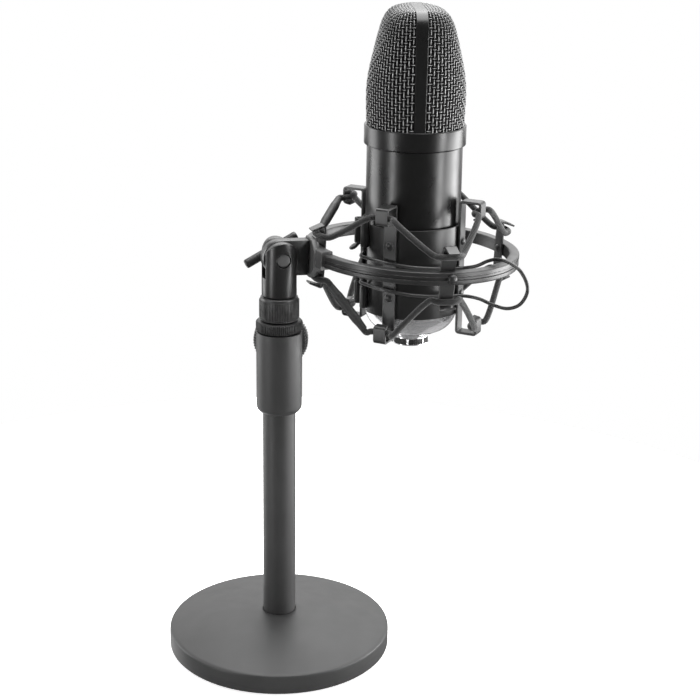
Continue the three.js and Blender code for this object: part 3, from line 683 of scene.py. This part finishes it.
def make_sleeve():
    """The sleeve on the tube's top, with the boss for the height knob's screw."""
    low, high, r = turned_size("height_sleeve")
    bore = TUBE_R + GAP
    outline = [(bore, low), (r - 1.5, low, 0.3), (r, low + 1.7, 1.6)]
    outline += [(r, high, 0.5), (bore, high, 0.3)]
    sleeve = lathe("sleeve", outline, sides=112)
    screw_way, boss_r, root, face = 2.4, 5, r - 1.5, r + 1.6
    boss = [(screw_way, root), (boss_r, root), (boss_r, face, 0.5), (screw_way, face)]
    combine(sleeve, "UNION", lathe("boss", boss, TO_BACK, sides=48))
    replace(sleeve, "stand", "height_sleeve")


def make_knob():
    """A fluted knob on a stepped hub, its face dished."""
    low, high = box_of("height_knob")
    foot, top = low.y, high.y
    r = half_width("height_knob")
    levels = [
        (5.2, foot, 0), (r - 3.2, foot, 0), (r - 3, foot + 0.3, 0), (r - 3, foot + 1.1, 0),
        (r - 0.9, foot + 1.3, 0.6), (r, foot + 2.1, 1), (r, foot + 7.4, 1),
        (r - 0.5, foot + 7.9, 1), (r - 1.2, foot + 8.1, 0.5), (r - 3, foot + 8.3, 0),
        (r - 3.2, top, 0), (6.2, top, 0), (5.4, top - 1.2, 0),
    ]
    knob = fluted("knob", levels, 58, 0.8, 0.6, TO_BACK, closed=False, per_tooth=6)
    replace(knob, "height_knob", "height_knob")


STUD_WAY_R, NUT_MOUTH_R = 5.1, 7.0


def make_lock_ring():
    low, high, r = turned_size("lock_ring")
    levels = [
        (STUD_WAY_R, low, 0), (r - 1.3, low, 0), (r - 0.5, low + 0.3, 0.4), (r, low + 0.9, 1),
        (r, high - 0.9, 1), (r - 0.5, high - 0.3, 0.4), (r - 1.3, high, 0), (STUD_WAY_R, high, 0),
    ]
    ring = fluted("lock_ring_smooth", levels, 72, 0.5, 0.6, per_tooth=6)
    replace(ring, "lock_ring", "lock_ring")


def make_coupling_nut():
    """Fluted round its waist, plain at its foot and its neck."""
    low, high, r = turned_size("coupling_nut")
    levels = [
        (STUD_WAY_R, low, 0), (r - 1.0, low, 0), (r - 0.35, low + 0.5, 0),
        (r - 0.3, low + 0.9, 0.3), (r, low + 1.3, 1), (r, high - 2.0, 1),
        (r - 0.35, high - 1.5, 0.3), (r - 0.6, high - 1.2, 0), (r - 0.7, high - 0.5, 0),
        (r - 1.3, high, 0), (NUT_MOUTH_R, high, 0), (NUT_MOUTH_R, high - 5, 0),
        (STUD_WAY_R, high - 6, 0),
    ]
    nut = fluted("nut_smooth", levels, 76, 0.42, 0.62, per_tooth=6)
    replace(nut, "coupling_nut", "coupling_nut")


# ---------- the swivel ----------
YOKE_R = 8.35
SLOT_HALF, SLOT_FOOT = 3.3, -9.3
PIN_WAY_R, BOLT_R = 2.8, 2.5
HEAD_WAY_R, HEAD_R, HEAD_SEAT = 3.55, 3.2, YOKE_R - 2.2
FROM_FRONT = HEAD @ shift(0, 0, TILT_Z) @ Matrix.Rotation(math.radians(90), 4, "X")


def make_yoke():
    """A turned column with its top rounded about the pin, slotted for the arm."""
    shank_low = heights("swivel_yoke")[0]
    seat = heights("coupling_nut")[1] + 0.4
    flange_r, flange_top, neck_r = 7.5, 179, 6.6
    column = [
        (0, shank_low), (flange_r, shank_low), (flange_r, flange_top), (neck_r, flange_top),
        (neck_r, seat), (YOKE_R, seat, 0.5), (YOKE_R, TILT_Z + 12), (0, TILT_Z + 12),
    ]
    yoke = lathe("yoke", column, HEAD, closed=False)
    wide = YOKE_R + 2
    ears = [(wide, shank_low - TILT_Z - 2), (wide, seat + 3 - TILT_Z), (YOKE_R, 0)]
    for i in range(1, 36):
        angle = math.pi * i / 36
        ears.append((YOKE_R * math.cos(angle), YOKE_R * math.sin(angle)))
    ears += [(-YOKE_R, 0), (-wide, seat + 3 - TILT_Z), (-wide, shank_low - TILT_Z - 2)]
    keep = slab("ears", ears, -wide, wide, FROM_FRONT, 0)
    combine(yoke, "INTERSECT", keep)
    slot = [(-wide, 20), (-wide, SLOT_FOOT), (0, SLOT_FOOT, 4)]
    slot += [(wide, seat + 1 - TILT_Z), (wide, 20)]
    gap = slab("slot", rounded(slot), -SLOT_HALF, SLOT_HALF, FROM_FRONT, 0)
    pin = [(0, -20), (PIN_WAY_R, -20), (PIN_WAY_R, 20), (0, 20)]
    pin_way = lathe("pin_way", pin, FROM_FRONT, False, 32)
    counterbore = [(0, HEAD_SEAT), (HEAD_WAY_R, HEAD_SEAT), (HEAD_WAY_R, 20), (0, 20)]
    head_way = lathe("head_way", counterbore, FROM_FRONT, False, 48)
    combine(yoke, "DIFFERENCE", gap, pin_way, head_way)
    ease(yoke, 0.5)
    replace(yoke, "swivel", "swivel_yoke")


def make_tilt_bolt():
    face, shoulder, tail = YOKE_R - 0.9, YOKE_R - 2.1, -YOKE_R - 2.2
    outline = [
        (0, tail), (BOLT_R, tail, 0.3), (BOLT_R, shoulder), (HEAD_R, shoulder),
        (HEAD_R, face, 0.4), (1.6, face + 0.25, 1.0), (0, face + 0.3),
    ]
    bolt = lathe("bolt", outline, FROM_FRONT, False, 48)
    replace(bolt, "swivel", "tilt_bolt")
    low, high = -YOKE_R - 1.3, -YOKE_R - GAP
    washer = [(PIN_WAY_R, low), (5.2, low, 0.3), (5.2, high, 0.3), (PIN_WAY_R, high)]
    replace(lathe("washer", washer, FROM_FRONT, sides=64), "swivel", "tilt_washer")


def make_handle():
    """The T handle behind the yoke: a hub on the bolt and a bar across it."""
    hub = [
        (PIN_WAY_R, -YOKE_R - 2.5), (PIN_WAY_R, -YOKE_R - 1.6), (4.2, -YOKE_R - 1.6, 0.4),
        (4.2, -YOKE_R - 6.0, 0.8), (0, -YOKE_R - 6.0), (0, -YOKE_R - 2.5),
    ]
    handle = lathe("handle", hub, FROM_FRONT, sides=48)
    half, r, bar_turn = 28.5 / 2, 2.25, 26.5
    bar = [(0, -half), (r * 0.9, -half, 0.5), (r * 1.02, 1 - half, 0.5), (r, 2.5 - half)]
    bar += [(x, -z, *more) for x, z, *more in reversed(bar)]
    to_bar = FROM_FRONT @ turn_z(bar_turn) @ shift(0, 0, -YOKE_R - 5.3) @ ON_SIDE
    combine(handle, "UNION", lathe("bar", bar, to_bar, False, 40))
    replace(handle, "tilt_handle", "tilt_handle")


# ---------- the arm, the ring and its posts ----------
RING_R = (46.8, 51.8)
RING_HALF = 3.05
RING_END = 16.3  # degrees from the arm's line to each end of the ring
BLOCK_R, BLOCK_HALF = 53.0, 4.4
PLATE_HALF, PLATE_THICK = 9.6, 2.7
POST_R = (45.3, 46.5)
POST_Z = (-16.2, 14.0)
LIP_OUT, LIP_BACK = 6.2, 2.3


def make_arm():
    """The tongue: a flat bar with a round end about the tilt pin, from the ring's block."""
    reach = ARM_LENGTH - BLOCK_R - GAP
    r = 8.6
    outline = [(reach, -r), (reach, r)]
    for i in range(25):
        angle = math.pi * (0.5 + i / 24)
        outline.append((r * math.cos(angle), r * math.sin(angle)))
    upright = ARM @ Matrix.Rotation(math.pi / 2, 4, "X")
    tongue = slab("tongue", outline, -2.9, 2.9, upright, 0)
    pin = [(0, -9), (PIN_WAY_R, -9), (PIN_WAY_R, 9), (0, 9)]
    combine(tongue, "DIFFERENCE", lathe("pin_way", pin, upright, False, 32))
    ease(tongue, 0.6)
    replace(tongue, "arm", "tilt_arm")


def make_ring():
    """The open ring, grooved outside, and the block that holds its two ends to the arm."""
    inner, outer = RING_R
    half = RING_HALF
    section = rounded([
        (inner, -half, 0.7), (outer, -half, 0.7), (outer, -0.9), (outer - 0.6, -0.6, 0.2),
        (outer - 0.6, 0.6, 0.2), (outer, 0.9), (outer, half, 0.7), (inner, half, 0.7),
    ])
    ring = arc_sweep("ring", section, RING_END - 180, 180 - RING_END, RING, 2.0)
    replace(ring, "arm", "suspension_ring")

    end = RING_END - 0.4
    tall = BLOCK_HALF
    saddle = [(inner, -tall, 0.8), (BLOCK_R, -tall, 0.8), (BLOCK_R, tall, 0.8), (inner, tall, 0.8)]
    block = arc_sweep("block", rounded(saddle), 180 - end, 180 + end, RING, 2.5)
    octagon = []
    for i in range(8):
        angle = math.radians(22.5 + 45 * i)
        r = PLATE_HALF / math.cos(math.radians(22.5))
        octagon.append((r * math.cos(angle), r * math.sin(angle), 0.8))
    to_plate = RING @ shift(-BLOCK_R, 0, -RING_RISE) @ ON_SIDE
    plate = slab("plate", rounded(octagon, steps=2), 0, PLATE_THICK, to_plate, 0.5)
    combine(block, "UNION", plate)
    replace(block, "arm", "ring_block")


def post_width(z):
    """8 mm where the ring holds it, narrower towards its lips."""
    if z > 4:
        return 8 - 2.2 * min((z - 4) / 10, 1)
    return 8 - 2.0 * min(max((-4 - z) / 12, 0), 1)


def make_posts():
    """Folded posts riveted inside the ring. The block hides the outer head of post 1."""
    foot, top = POST_Z
    line = (POST_R[0] + POST_R[1]) / 2
    tip = line + LIP_OUT
    path = [(tip, foot + LIP_BACK), (line, foot, 1.4), (line, -6)]
    path += [(line, 6), (line, top, 1.4), (tip, top - LIP_BACK)]
    path = rounded(path, closed=False, steps=5)
    inner_face, outer_face = POST_R[0] - GAP / 2, RING_R[1] + GAP / 2
    inner_head = [(0, inner_face - 1.1), (1.3, inner_face - 0.9, 0.5), (2.1, inner_face, 0.2)]
    shank = [(1.1, inner_face), (1.1, outer_face)]
    outer_head = [(2.3, outer_face, 0.2), (2.1, outer_face + 0.9, 0.7)]
    outer_head += [(1.2, outer_face + 1.6, 0.5), (0, outer_face + 1.8)]
    flush = [(0, outer_face)]
    for i, angle in enumerate((180, -90, 0, 90), start=1):
        place = RING @ turn_z(angle)
        post = strip(f"post_strip_{i}", path, post_width, 1.2, place)
        replace(post, "arm", f"post_{i}")
        outline = inner_head + shank + (outer_head if i > 1 else flush)
        rivet = lathe(f"post_rivet_dome_{i}", outline, place @ ON_SIDE, False, 32)
        replace(rivet, "arm", f"post_rivet_{i}")


# ---------- the clamp ----------
JAW_R, JAW_Z = (23.9, 24.7), (173.7, 217.5)
LINER_R = (23.15, 23.65)
KNUCKLE_Z = ((206.5, 218.8), (176.3, 187.2))
KNUCKLE_R, KNUCKLE_ANGLE, KNUCKLE_OUT, KNUCKLE_BORE = 26.3, 9.5, 2.1, 1.2
MIRROR_Y = Matrix.Scale(-1, 4, (0, 1, 0))
SIDES = (("front", Matrix.Identity(4)), ("back", MIRROR_Y))


def make_jaws():
    """Two half shells with rolled knuckles at the back, a soft liner in each."""
    low, high = JAW_Z
    inner, outer = JAW_R
    shell = [(inner, low, 0.3), (outer, low, 0.3), (outer, high, 0.3), (inner, high, 0.3)]
    inner, outer = LINER_R
    liner = [(inner, low + 1), (outer, low + 1), (outer, high - 1), (inner, high - 1)]
    for side, mirror in SIDES:
        place = CAGE @ mirror
        section = rounded(shell, steps=3)
        jaw = arc_sweep(f"jaw_shell_{side}", section, KNUCKLE_ANGLE - 180, -2, place, 2.5)
        at = place @ Matrix.Translation(polar(KNUCKLE_ANGLE - 180, KNUCKLE_R, 0))
        for z0, z1 in KNUCKLE_Z:
            outline = [
                (KNUCKLE_BORE, z0, 0.2), (KNUCKLE_OUT, z0, 0.4), (KNUCKLE_OUT, z1, 0.4),
                (KNUCKLE_BORE, z1, 0.2),
            ]
            combine(jaw, "UNION", lathe("knuckle", outline, at, sides=32))
        replace(jaw, "clamp", f"jaw_{side}")
        band = arc_sweep(f"liner_{side}", liner, KNUCKLE_ANGLE - 178, -4, place, 4)
        replace(band, "clamp", f"jaw_liner_{side}")


BRACKET_R, BRACKET_HALF = 25.6, 32.3
HOOK_R, HOOK_HALF = 35.6, 25.2
STRIP_WIDTH, STRIP_THICK = 6.4, 1.2
RIVET_PITCH = 25.4
WIRE_R = 0.85
HOOK_ANGLES = (-135, -45, 45, 135)


def make_brackets():
    """Strips down the jaws, folded out and back at each end into a hook that holds a cord."""
    top_half = [
        (HOOK_R - 3.2, HOOK_HALF - 0.9), (HOOK_R, HOOK_HALF, 0.9), (HOOK_R, BRACKET_HALF, 1.3),
        (BRACKET_R, BRACKET_HALF, 1.3),
    ]
    mirrored = [(x, -z, *more) for x, z, *more in reversed(top_half)]
    path = rounded([*top_half, (BRACKET_R, 12), (BRACKET_R, -12), *mirrored], closed=False, steps=5)
    face = BRACKET_R + STRIP_THICK / 2
    dome = [(0, face - 0.3), (2.1, face - 0.3, 0.2), (1.8, face + 0.7, 0.6)]
    dome += [(0.9, face + 1.2, 0.5), (0, face + 1.3)]
    for i, angle in enumerate(HOOK_ANGLES, start=1):
        place = CAGE @ turn_z(angle) @ shift(0, 0, CAGE_MID)
        bracket = strip(f"hook_strip_{i}", path, lambda z: STRIP_WIDTH, STRIP_THICK, place)
        rivets = []
        for side in (1, -1):
            at = place @ shift(0, 0, side * RIVET_PITCH / 2)
            rivets.append(lathe("dome", dome, at @ ON_SIDE, False, 32))
        combine(bracket, "UNION", *rivets)
        replace(bracket, "clamp", f"bracket_{i}")


def make_grip_wires():
    """Spring wire from knuckle to knuckle, by way of a finger loop over and under the ring.

    The route is (angle, radius, height) in the clamp's frame.
    """
    pin, loop = KNUCKLE_ANGLE - 180, -57
    route = [
        (pin, KNUCKLE_R, 214), (pin, KNUCKLE_R, 206.6), (pin + 2.5, 28.4, 203.6),
        (pin + 4.5, 29.6, 203), (-157, 29, 202.7), (-145, 28.4, 202.2), (-135, 28.2, 201.8),
        (-110, 28, 200.8), (-85, 28, 199.6), (-72, 28.8, 199), (-62, 32.2, 199.2),
        (-58, 38, 200.8), (loop, 44, 204.2), (loop, 49, 205.9), (loop, 55, 205.7),
        (loop, 62, 202.6), (loop, 66.4, 195), (loop, 63, 187), (loop, 56, 183.3),
        (loop, 48, 183.4), (loop - 0.5, 40, 185), (-60, 33, 185.3), (-70, 28.8, 185.4),
        (-85, 28, 186), (-110, 28, 187.2), (-135, 28.2, 188.4), (-145, 28.4, 188.9),
        (-157, 29, 189.5), (pin + 4.5, 29.6, 190), (pin + 2.5, 28.4, 190.2),
        (pin, KNUCKLE_R, 188), (pin, KNUCKLE_R, 180),
    ]
    line = smooth_line([polar(*point) for point in route], 1.0)
    for side, mirror in SIDES:
        wire = sweep(f"spring_wire_{side}", line, WIRE_R, 14, CAGE @ mirror)
        replace(wire, f"grip_{side}", f"grip_wire_{side}")


# ---------- the elastic cords ----------
CORD_R = 1.5
SEAM = 0.48  # where a cord's ends meet in their sleeve, as a share of the way between supports
JOINER_LENGTH = {1: 12.4, -1: 15.0}  # upper (1) and lower (-1)
# (radius, distance across) of the cord's bends round a post and a hook, from one side to the middle
ROUND_POST = ((45.2, 7.1), (47.5, 5.4), (48.8, 2.9), (48.9, 0))
ROUND_HOOK = ((36.4, 6.5), (34.3, 5.5), (33, 2.9), (32.8, 0))


def post_point(angle, out, across, up):
    return CAGE.inverted() @ RING @ turn_z(angle) @ Vector((out, across, up))


def hook_point(angle, out, across, up):
    return turn_z(angle) @ Vector((out, across, CAGE_MID + up))


def cord_loop(side):
    """Outside each post and inside each hook in turn, from post 1 round to the hook beside it."""
    post_up = POST_Z[1] - 4.5 if side > 0 else POST_Z[0] + 4.5
    hook_up = side * (HOOK_HALF + STRIP_THICK / 2 + CORD_R + 0.5)
    stops = []
    for i in range(4):
        hook = -side * 135 + side * 90 * i
        stops.append((hook_point, hook, ROUND_HOOK, hook_up))
        stops.append((post_point, hook + side * 45, ROUND_POST, post_up))
    loop = []
    for place, angle, corner, up in [stops[7], *stops[:7]]:
        way = [place(angle, out, -across, up) for out, across in corner]
        way += [place(angle, out, across, up) for out, across in reversed(corner[:-1])]
        loop += way if side > 0 else way[::-1]
    return loop


def make_cord(name, side):
    """One elastic cord and the fat rubber sleeve over its joint."""
    loop = cord_loop(side)
    start, end = loop[0], loop[-1]
    reach = (start - end).length
    half_gap = GAP / 2 / reach
    into = [end.lerp(start, SEAM + half_gap), end.lerp(start, 0.76)]
    out_of = [end.lerp(start, 0.2), end.lerp(start, SEAM - half_gap)]
    line = smooth_line([*into, *loop, *out_of], 0.8)
    cord = sweep(f"cord_{name}", line, CORD_R, 16, CAGE, dome=False)

    fat = JOINER_LENGTH[side] / 2
    neck = min(fat + 5.5, reach * 0.46)
    outline = [
        (CORD_R + 0.1, -neck), (1.75, -neck, 0.2), (1.95, -fat - 1.5, 1.0),
        (2.25, -fat + 0.5, 1.0), (2.25, fat - 0.5, 1.0), (1.95, fat + 1.5, 1.0),
        (1.75, neck, 0.2), (CORD_R + 0.1, neck),
    ]
    along = (start - end).to_track_quat("Z", "X").to_matrix().to_4x4()
    place = CAGE @ Matrix.Translation(end.lerp(start, SEAM)) @ along
    sleeve = lathe(f"cord_sleeve_{name}", outline, place, sides=32)
    for piece, slot in ((cord, "elastic"), (sleeve, "elastic_joiner")):
        piece.data.materials.append(FINISHES[slot])
        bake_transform(piece)
        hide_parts(f"{slot}_{name}")


# ---------- the microphone ----------
BODY_WALL = 1.2
BAND_HALF = 3.05
BAND_OUT = 24.0  # the strap's outer face, from the microphone's axis
BAND_THICK = 1.0
GRILLE_FOOT, GRILLE_TOP = 263.6, 318.0
GRILLE_DEPTH = 23.1  # the middle of the weave, along the strap
GRILLE_CORNER = 9.0
COLUMNS, ROWS = 36, 44  # wires in one half of the grille
UPRIGHT_R, LEVEL_R = 0.31, 0.28
SWING = 0.3  # how far a wire rises and dips as it crosses the others
FINE = 4  # points from one crossing to the next
WIRE_SIDES = 6
GRILLE_PROFILE = (  # half width and height
    (22.7, GRILLE_FOOT), (23.0, 272), (22.95, 281), (22.05, 288), (20.0, 297), (17.9, 305),
    (15.7, 311.4), (12.9, 315.4), (9.0, 317.0), (BAND_HALF, 317.5),
)


def make_body():
    low, high, r = turned_size("body_tube")
    bore = r - BODY_WALL
    tube = [(bore, low, 0.2), (r, low, 0.4), (r, high, 0.3), (bore, high, 0.2)]
    replace(lathe("body_tube_smooth", tube, MIC, sides=128), "microphone", "body_tube")
    low, high, r = turned_size("collar")
    way, seat = 19.5, high - 0.6
    ring = [(way, low), (r, low, 0.5), (r, high, 0.7), (r - 1.3, high, 0.2)]
    ring += [(r - 1.6, seat), (way, seat)]
    replace(lathe("collar_smooth", ring, MIC, sides=128), "microphone", "collar")


def grille_depth(z):
    """How far the grille reaches to the front and back at a height: less at its rounded top."""
    bend = min(max(0.0, 1 - (GRILLE_TOP - z) / GRILLE_CORNER), 0.999)
    return GRILLE_DEPTH - GRILLE_CORNER * (1 - math.sqrt(1 - bend**2))


def grille_net(columns, rows, inset=0.0):
    """Points on one half of the grille: [row, column, xyz], rows from the collar up to the band."""
    profile = smooth_line([(w, 0, z) for w, z in GRILLE_PROFILE], 0.5)
    steps = [(b - a).length for a, b in zip(profile, profile[1:])]
    away = np.concatenate([[0], np.cumsum(steps)])
    quarter = np.linspace(0, math.pi / 2, 121)
    net = []
    for at in rows:
        w = np.interp(at * away[-1], away, [p.x for p in profile])
        z = np.interp(at * away[-1], away, [p.z for p in profile])
        share = (z - GRILLE_FOOT) / (GRILLE_TOP - GRILLE_FOOT)
        power = 2 / (1.84 + 1.1 * share**2)
        x = BAND_HALF + max(w - BAND_HALF - inset, 0.05) * np.sin(quarter) ** power
        y = (inset - grille_depth(z)) * np.cos(quarter) ** power
        x = np.concatenate([x, x[-2::-1]])
        y = np.concatenate([y, -y[-2::-1]])
        run = np.concatenate([[0], np.cumsum(np.hypot(np.diff(x), np.diff(y)))])
        where = np.asarray(columns) * run[-1]
        level = np.full(len(where), z - inset * share**4)
        net.append(np.stack([np.interp(where, run, x), np.interp(where, run, y), level], 1))
    return np.array(net)


def net_normals(net):
    """Unit normals of the net, facing out."""
    along = np.gradient(net, axis=0)
    around = np.gradient(net, axis=1)
    normal = np.cross(around, along)
    normal /= np.linalg.norm(normal, axis=2, keepdims=True)
    return normal * np.sign(normal[..., 0].mean())


def wire_tubes(paths, normals, radius):
    """Vertices and faces of many round wires at once. paths is [wire, point, xyz]."""
    sides = WIRE_SIDES
    tangent = np.gradient(paths, axis=1)
    tangent /= np.linalg.norm(tangent, axis=2, keepdims=True)
    across = np.cross(tangent, normals)
    across /= np.linalg.norm(across, axis=2, keepdims=True)
    up = np.cross(across, tangent)
    angle = 2 * np.pi * np.arange(sides) / sides
    ring = up[:, :, None] * np.cos(angle)[:, None] + across[:, :, None] * np.sin(angle)[:, None]
    vertices = paths[:, :, None] + ring * radius
    wires, points = paths.shape[:2]
    index = np.arange(wires * points * sides).reshape(wires, points, sides)
    following = np.roll(index, -1, axis=2)
    quads = np.stack([index[:, :-1], following[:, :-1], following[:, 1:], index[:, 1:]], -1)
    faces = [tuple(q) for q in quads.reshape(-1, 4).tolist()]
    for wire in index:
        faces.append(tuple(wire[0][::-1].tolist()))
        faces.append(tuple(wire[-1].tolist()))
    return vertices.reshape(-1, 3), faces


def over_or_under(column, row):
    """Whether the upright wire is over the level one (1) or under it (-1): two over, one under."""
    return np.where((column + row) % 3 == 0, -1.0, 1.0)


def wave(crossings):
    """Values at crossings, smoothed onto the fine points between them."""
    padded = np.concatenate([crossings[:1], crossings, crossings[-1:]])
    places = (np.arange(len(crossings) * FINE + 1) - FINE / 2) / FINE + 1
    low = np.clip(np.floor(places).astype(int), 0, len(padded) - 2)
    part = np.clip(places - low, 0, 1)
    part = part * part * (3 - 2 * part)
    return padded[low] * (1 - part) + padded[low + 1] * part


def painted_ridge_highlight(lifts, brightness):
    """The painted highlight at each wire point: on the outside of a wire, where it stands out of the weave."""
    share = np.clip(lifts, 0, 1) ** 2 * brightness
    ridge = np.maximum(np.cos(2 * np.pi * np.arange(WIRE_SIDES) / WIRE_SIDES), 0) ** 3
    return (share[..., None] * ridge).ravel()


def make_grille():
    """Woven wire, two over and one under, in two halves that meet at the band."""
    s_fine = np.arange(ROWS * FINE + 1) / (ROWS * FINE)
    t_fine = np.arange(COLUMNS * FINE + 1) / (COLUMNS * FINE)
    net = grille_net(t_fine, s_fine)
    normal = net_normals(net)
    highlight_fade_top = 1 - 0.5 * np.clip((s_fine - 0.55) / 0.3, 0, 1)  # the painted highlight fades towards the top, where the top lamp already lights the wires
    across = np.arange(COLUMNS) * FINE + FINE // 2
    up = np.arange(ROWS) * FINE + FINE // 2
    upright = np.array([wave(over_or_under(i, np.arange(ROWS))) for i in range(COLUMNS)])
    level = np.array([wave(-over_or_under(np.arange(COLUMNS), j)) for j in range(ROWS)])
    upright_net, upright_normal = net[:, across].swapaxes(0, 1), normal[:, across].swapaxes(0, 1)
    sets = (
        (upright_net, upright_normal, upright, UPRIGHT_R, highlight_fade_top[None, :]),
        (net[up], normal[up], level, LEVEL_R, 1.1 * highlight_fade_top[up][:, None]),
    )
    # Each wire gets a painted highlight on its outer ridge where it crosses over, weaker towards the top.
    vertices, faces, ridge_highlight = [], [], []
    total = 0
    for mirror in (1, -1):
        for line, out, lifts, radius, brightness in sets:
            paths = line + out * (lifts * SWING)[..., None]
            points, quads = wire_tubes(paths, out, radius)
            vertices.append(points * np.array([mirror, 1, 1]))
            ridge_highlight.append(painted_ridge_highlight(lifts, brightness))
            faces += [tuple(k + total for k in face) for face in quads]
            total += len(points)
    points, ridge_highlight = np.concatenate(vertices), np.concatenate(ridge_highlight).astype(np.float32)
    replace(make("grille_weave", points, faces, MIC, sharp=80, ridge_highlight=ridge_highlight), "microphone", "grille")


def make_grille_lining():
    """The fine gauze behind the weave, a thin black shell."""
    t = np.linspace(0, 1, 49)
    s = np.linspace(0, 1, 33)
    loops = []
    for inset, levels in ((0.9, s), (1.2, s[::-1])):
        for half in grille_net(t, levels, inset):
            other = half[::-1] * np.array([-1, 1, 1])
            loops.append([tuple(p) for p in np.concatenate([half, other])])
    lining = loft("grille_gauze", loops, MIC, closed=True, sharp=60)
    finish_piece(lining, "microphone", "liner")


def make_band():
    """The strap over the grille: up the front, flat over the top, down the back."""
    foot = heights("collar")[1] - 0.2
    middle_r = BAND_OUT - BAND_THICK / 2
    top = GRILLE_TOP + 0.4 - BAND_THICK / 2
    bend = GRILLE_CORNER
    side = [(middle_r, foot)]
    for i in range(13):
        angle = math.pi / 2 * i / 12
        side.append((middle_r - bend + bend * math.cos(angle), top - bend + bend * math.sin(angle)))
    path = [(-y, z) for y, z in side] + [(y, z) for y, z in reversed(side)]
    to_side = MIC @ Matrix.Rotation(math.pi / 2, 4, "Z")
    band = strip("band_strap", path, lambda z: 2 * BAND_HALF, BAND_THICK, to_side, 0.45)
    replace(band, "microphone", "grille_band")


CAP_BOWL = (  # radius and height
    (22.9, 175.9), (22.8, 173.4), (22.4, 171.4), (21.3, 168.6), (19.6, 166.1), (17.7, 164.3),
    (15.6, 163.2),
)
CONNECTOR_WAY_R = 8.6
XLR_BORE_R, XLR_RIM_Z = 8, 160.0


def make_bottom():
    """The plated bowl and its flange, and the ribbed socket under it."""
    foot, top = heights("bottom_cap")
    flange = half_width("xlr_shell") + 1.7
    shelf = foot + 2.4
    profile = smooth_line([(r, 0, z) for r, z in CAP_BOWL], 0.6)
    outline = [(p.x, p.z) for p in profile]
    outline += [(flange - 0.5, shelf + 0.1), (flange - 0.4, shelf - 0.3)]
    outline += [(flange, shelf - 0.6, 0.3), (flange, foot, 0.6)]
    outline += [(CONNECTOR_WAY_R, foot, 0.3), (CONNECTOR_WAY_R, shelf + 2)]
    outline += [(13.5, shelf + 2.2), (20.7, top - 4), (21.5, top)]
    replace(lathe("cap_bowl", outline, MIC, sides=128, sharp=45), "microphone", "bottom_cap")

    low, high, r = turned_size("xlr_shell")
    bore, rim = XLR_BORE_R, XLR_RIM_Z
    levels = [
        (bore, low, 0), (r - 0.25, low, 0), (r, low + 0.2, 0), (r, low + 0.55, 0),
        (r, low + 0.6, 1), (r, rim - 0.9, 1), (r, rim - 0.85, 0), (r, rim, 0),
        (bore + 0.3, rim, 0), (bore + 0.3, high, 0), (bore, high, 0),
    ]
    ring = fluted("xlr_ring", levels, 7, 1.2, 0.95, MIC, per_tooth=56)
    replace(ring, "microphone", "xlr_shell")
    foot, top, root, crest = low + 0.5, rim - 0.8, r - 0.7, r - 0.3
    sleeve = [(root, foot, 0), (crest, foot, 1), (crest, top, 1), (root, top, 0)]
    ribs = fluted("xlr_sleeve", sleeve, 60, 0.2, 0.6, MIC, per_tooth=6)
    finish_piece(ribs, "microphone", "connector_moulding")


# ---------- the whole ----------
def dress_cad_nodes():
    """CAD nodes that stay take the finish of their slot."""
    for name, node in frame["nodes"].items():
        if node.hide_render:
            continue
        node.data.materials.clear()
        node.data.materials.append(FINISHES[SLOT_OF[name]])
        node.data.shade_smooth()


add_camera()
for panel in PANELS:
    add_panel(*panel)
add_world()
add_floor()
bpy.context.scene.view_settings.view_transform = "Standard"

make_foot()
make_tubes()
make_sleeve()
make_knob()
make_lock_ring()
make_coupling_nut()
make_yoke()
make_tilt_bolt()
make_handle()
make_arm()
make_ring()
make_posts()
make_jaws()
make_brackets()
make_grip_wires()
make_cord("upper", 1)
make_cord("lower", -1)
make_body()
make_grille()
make_grille_lining()
make_band()
make_bottom()
dress_cad_nodes()
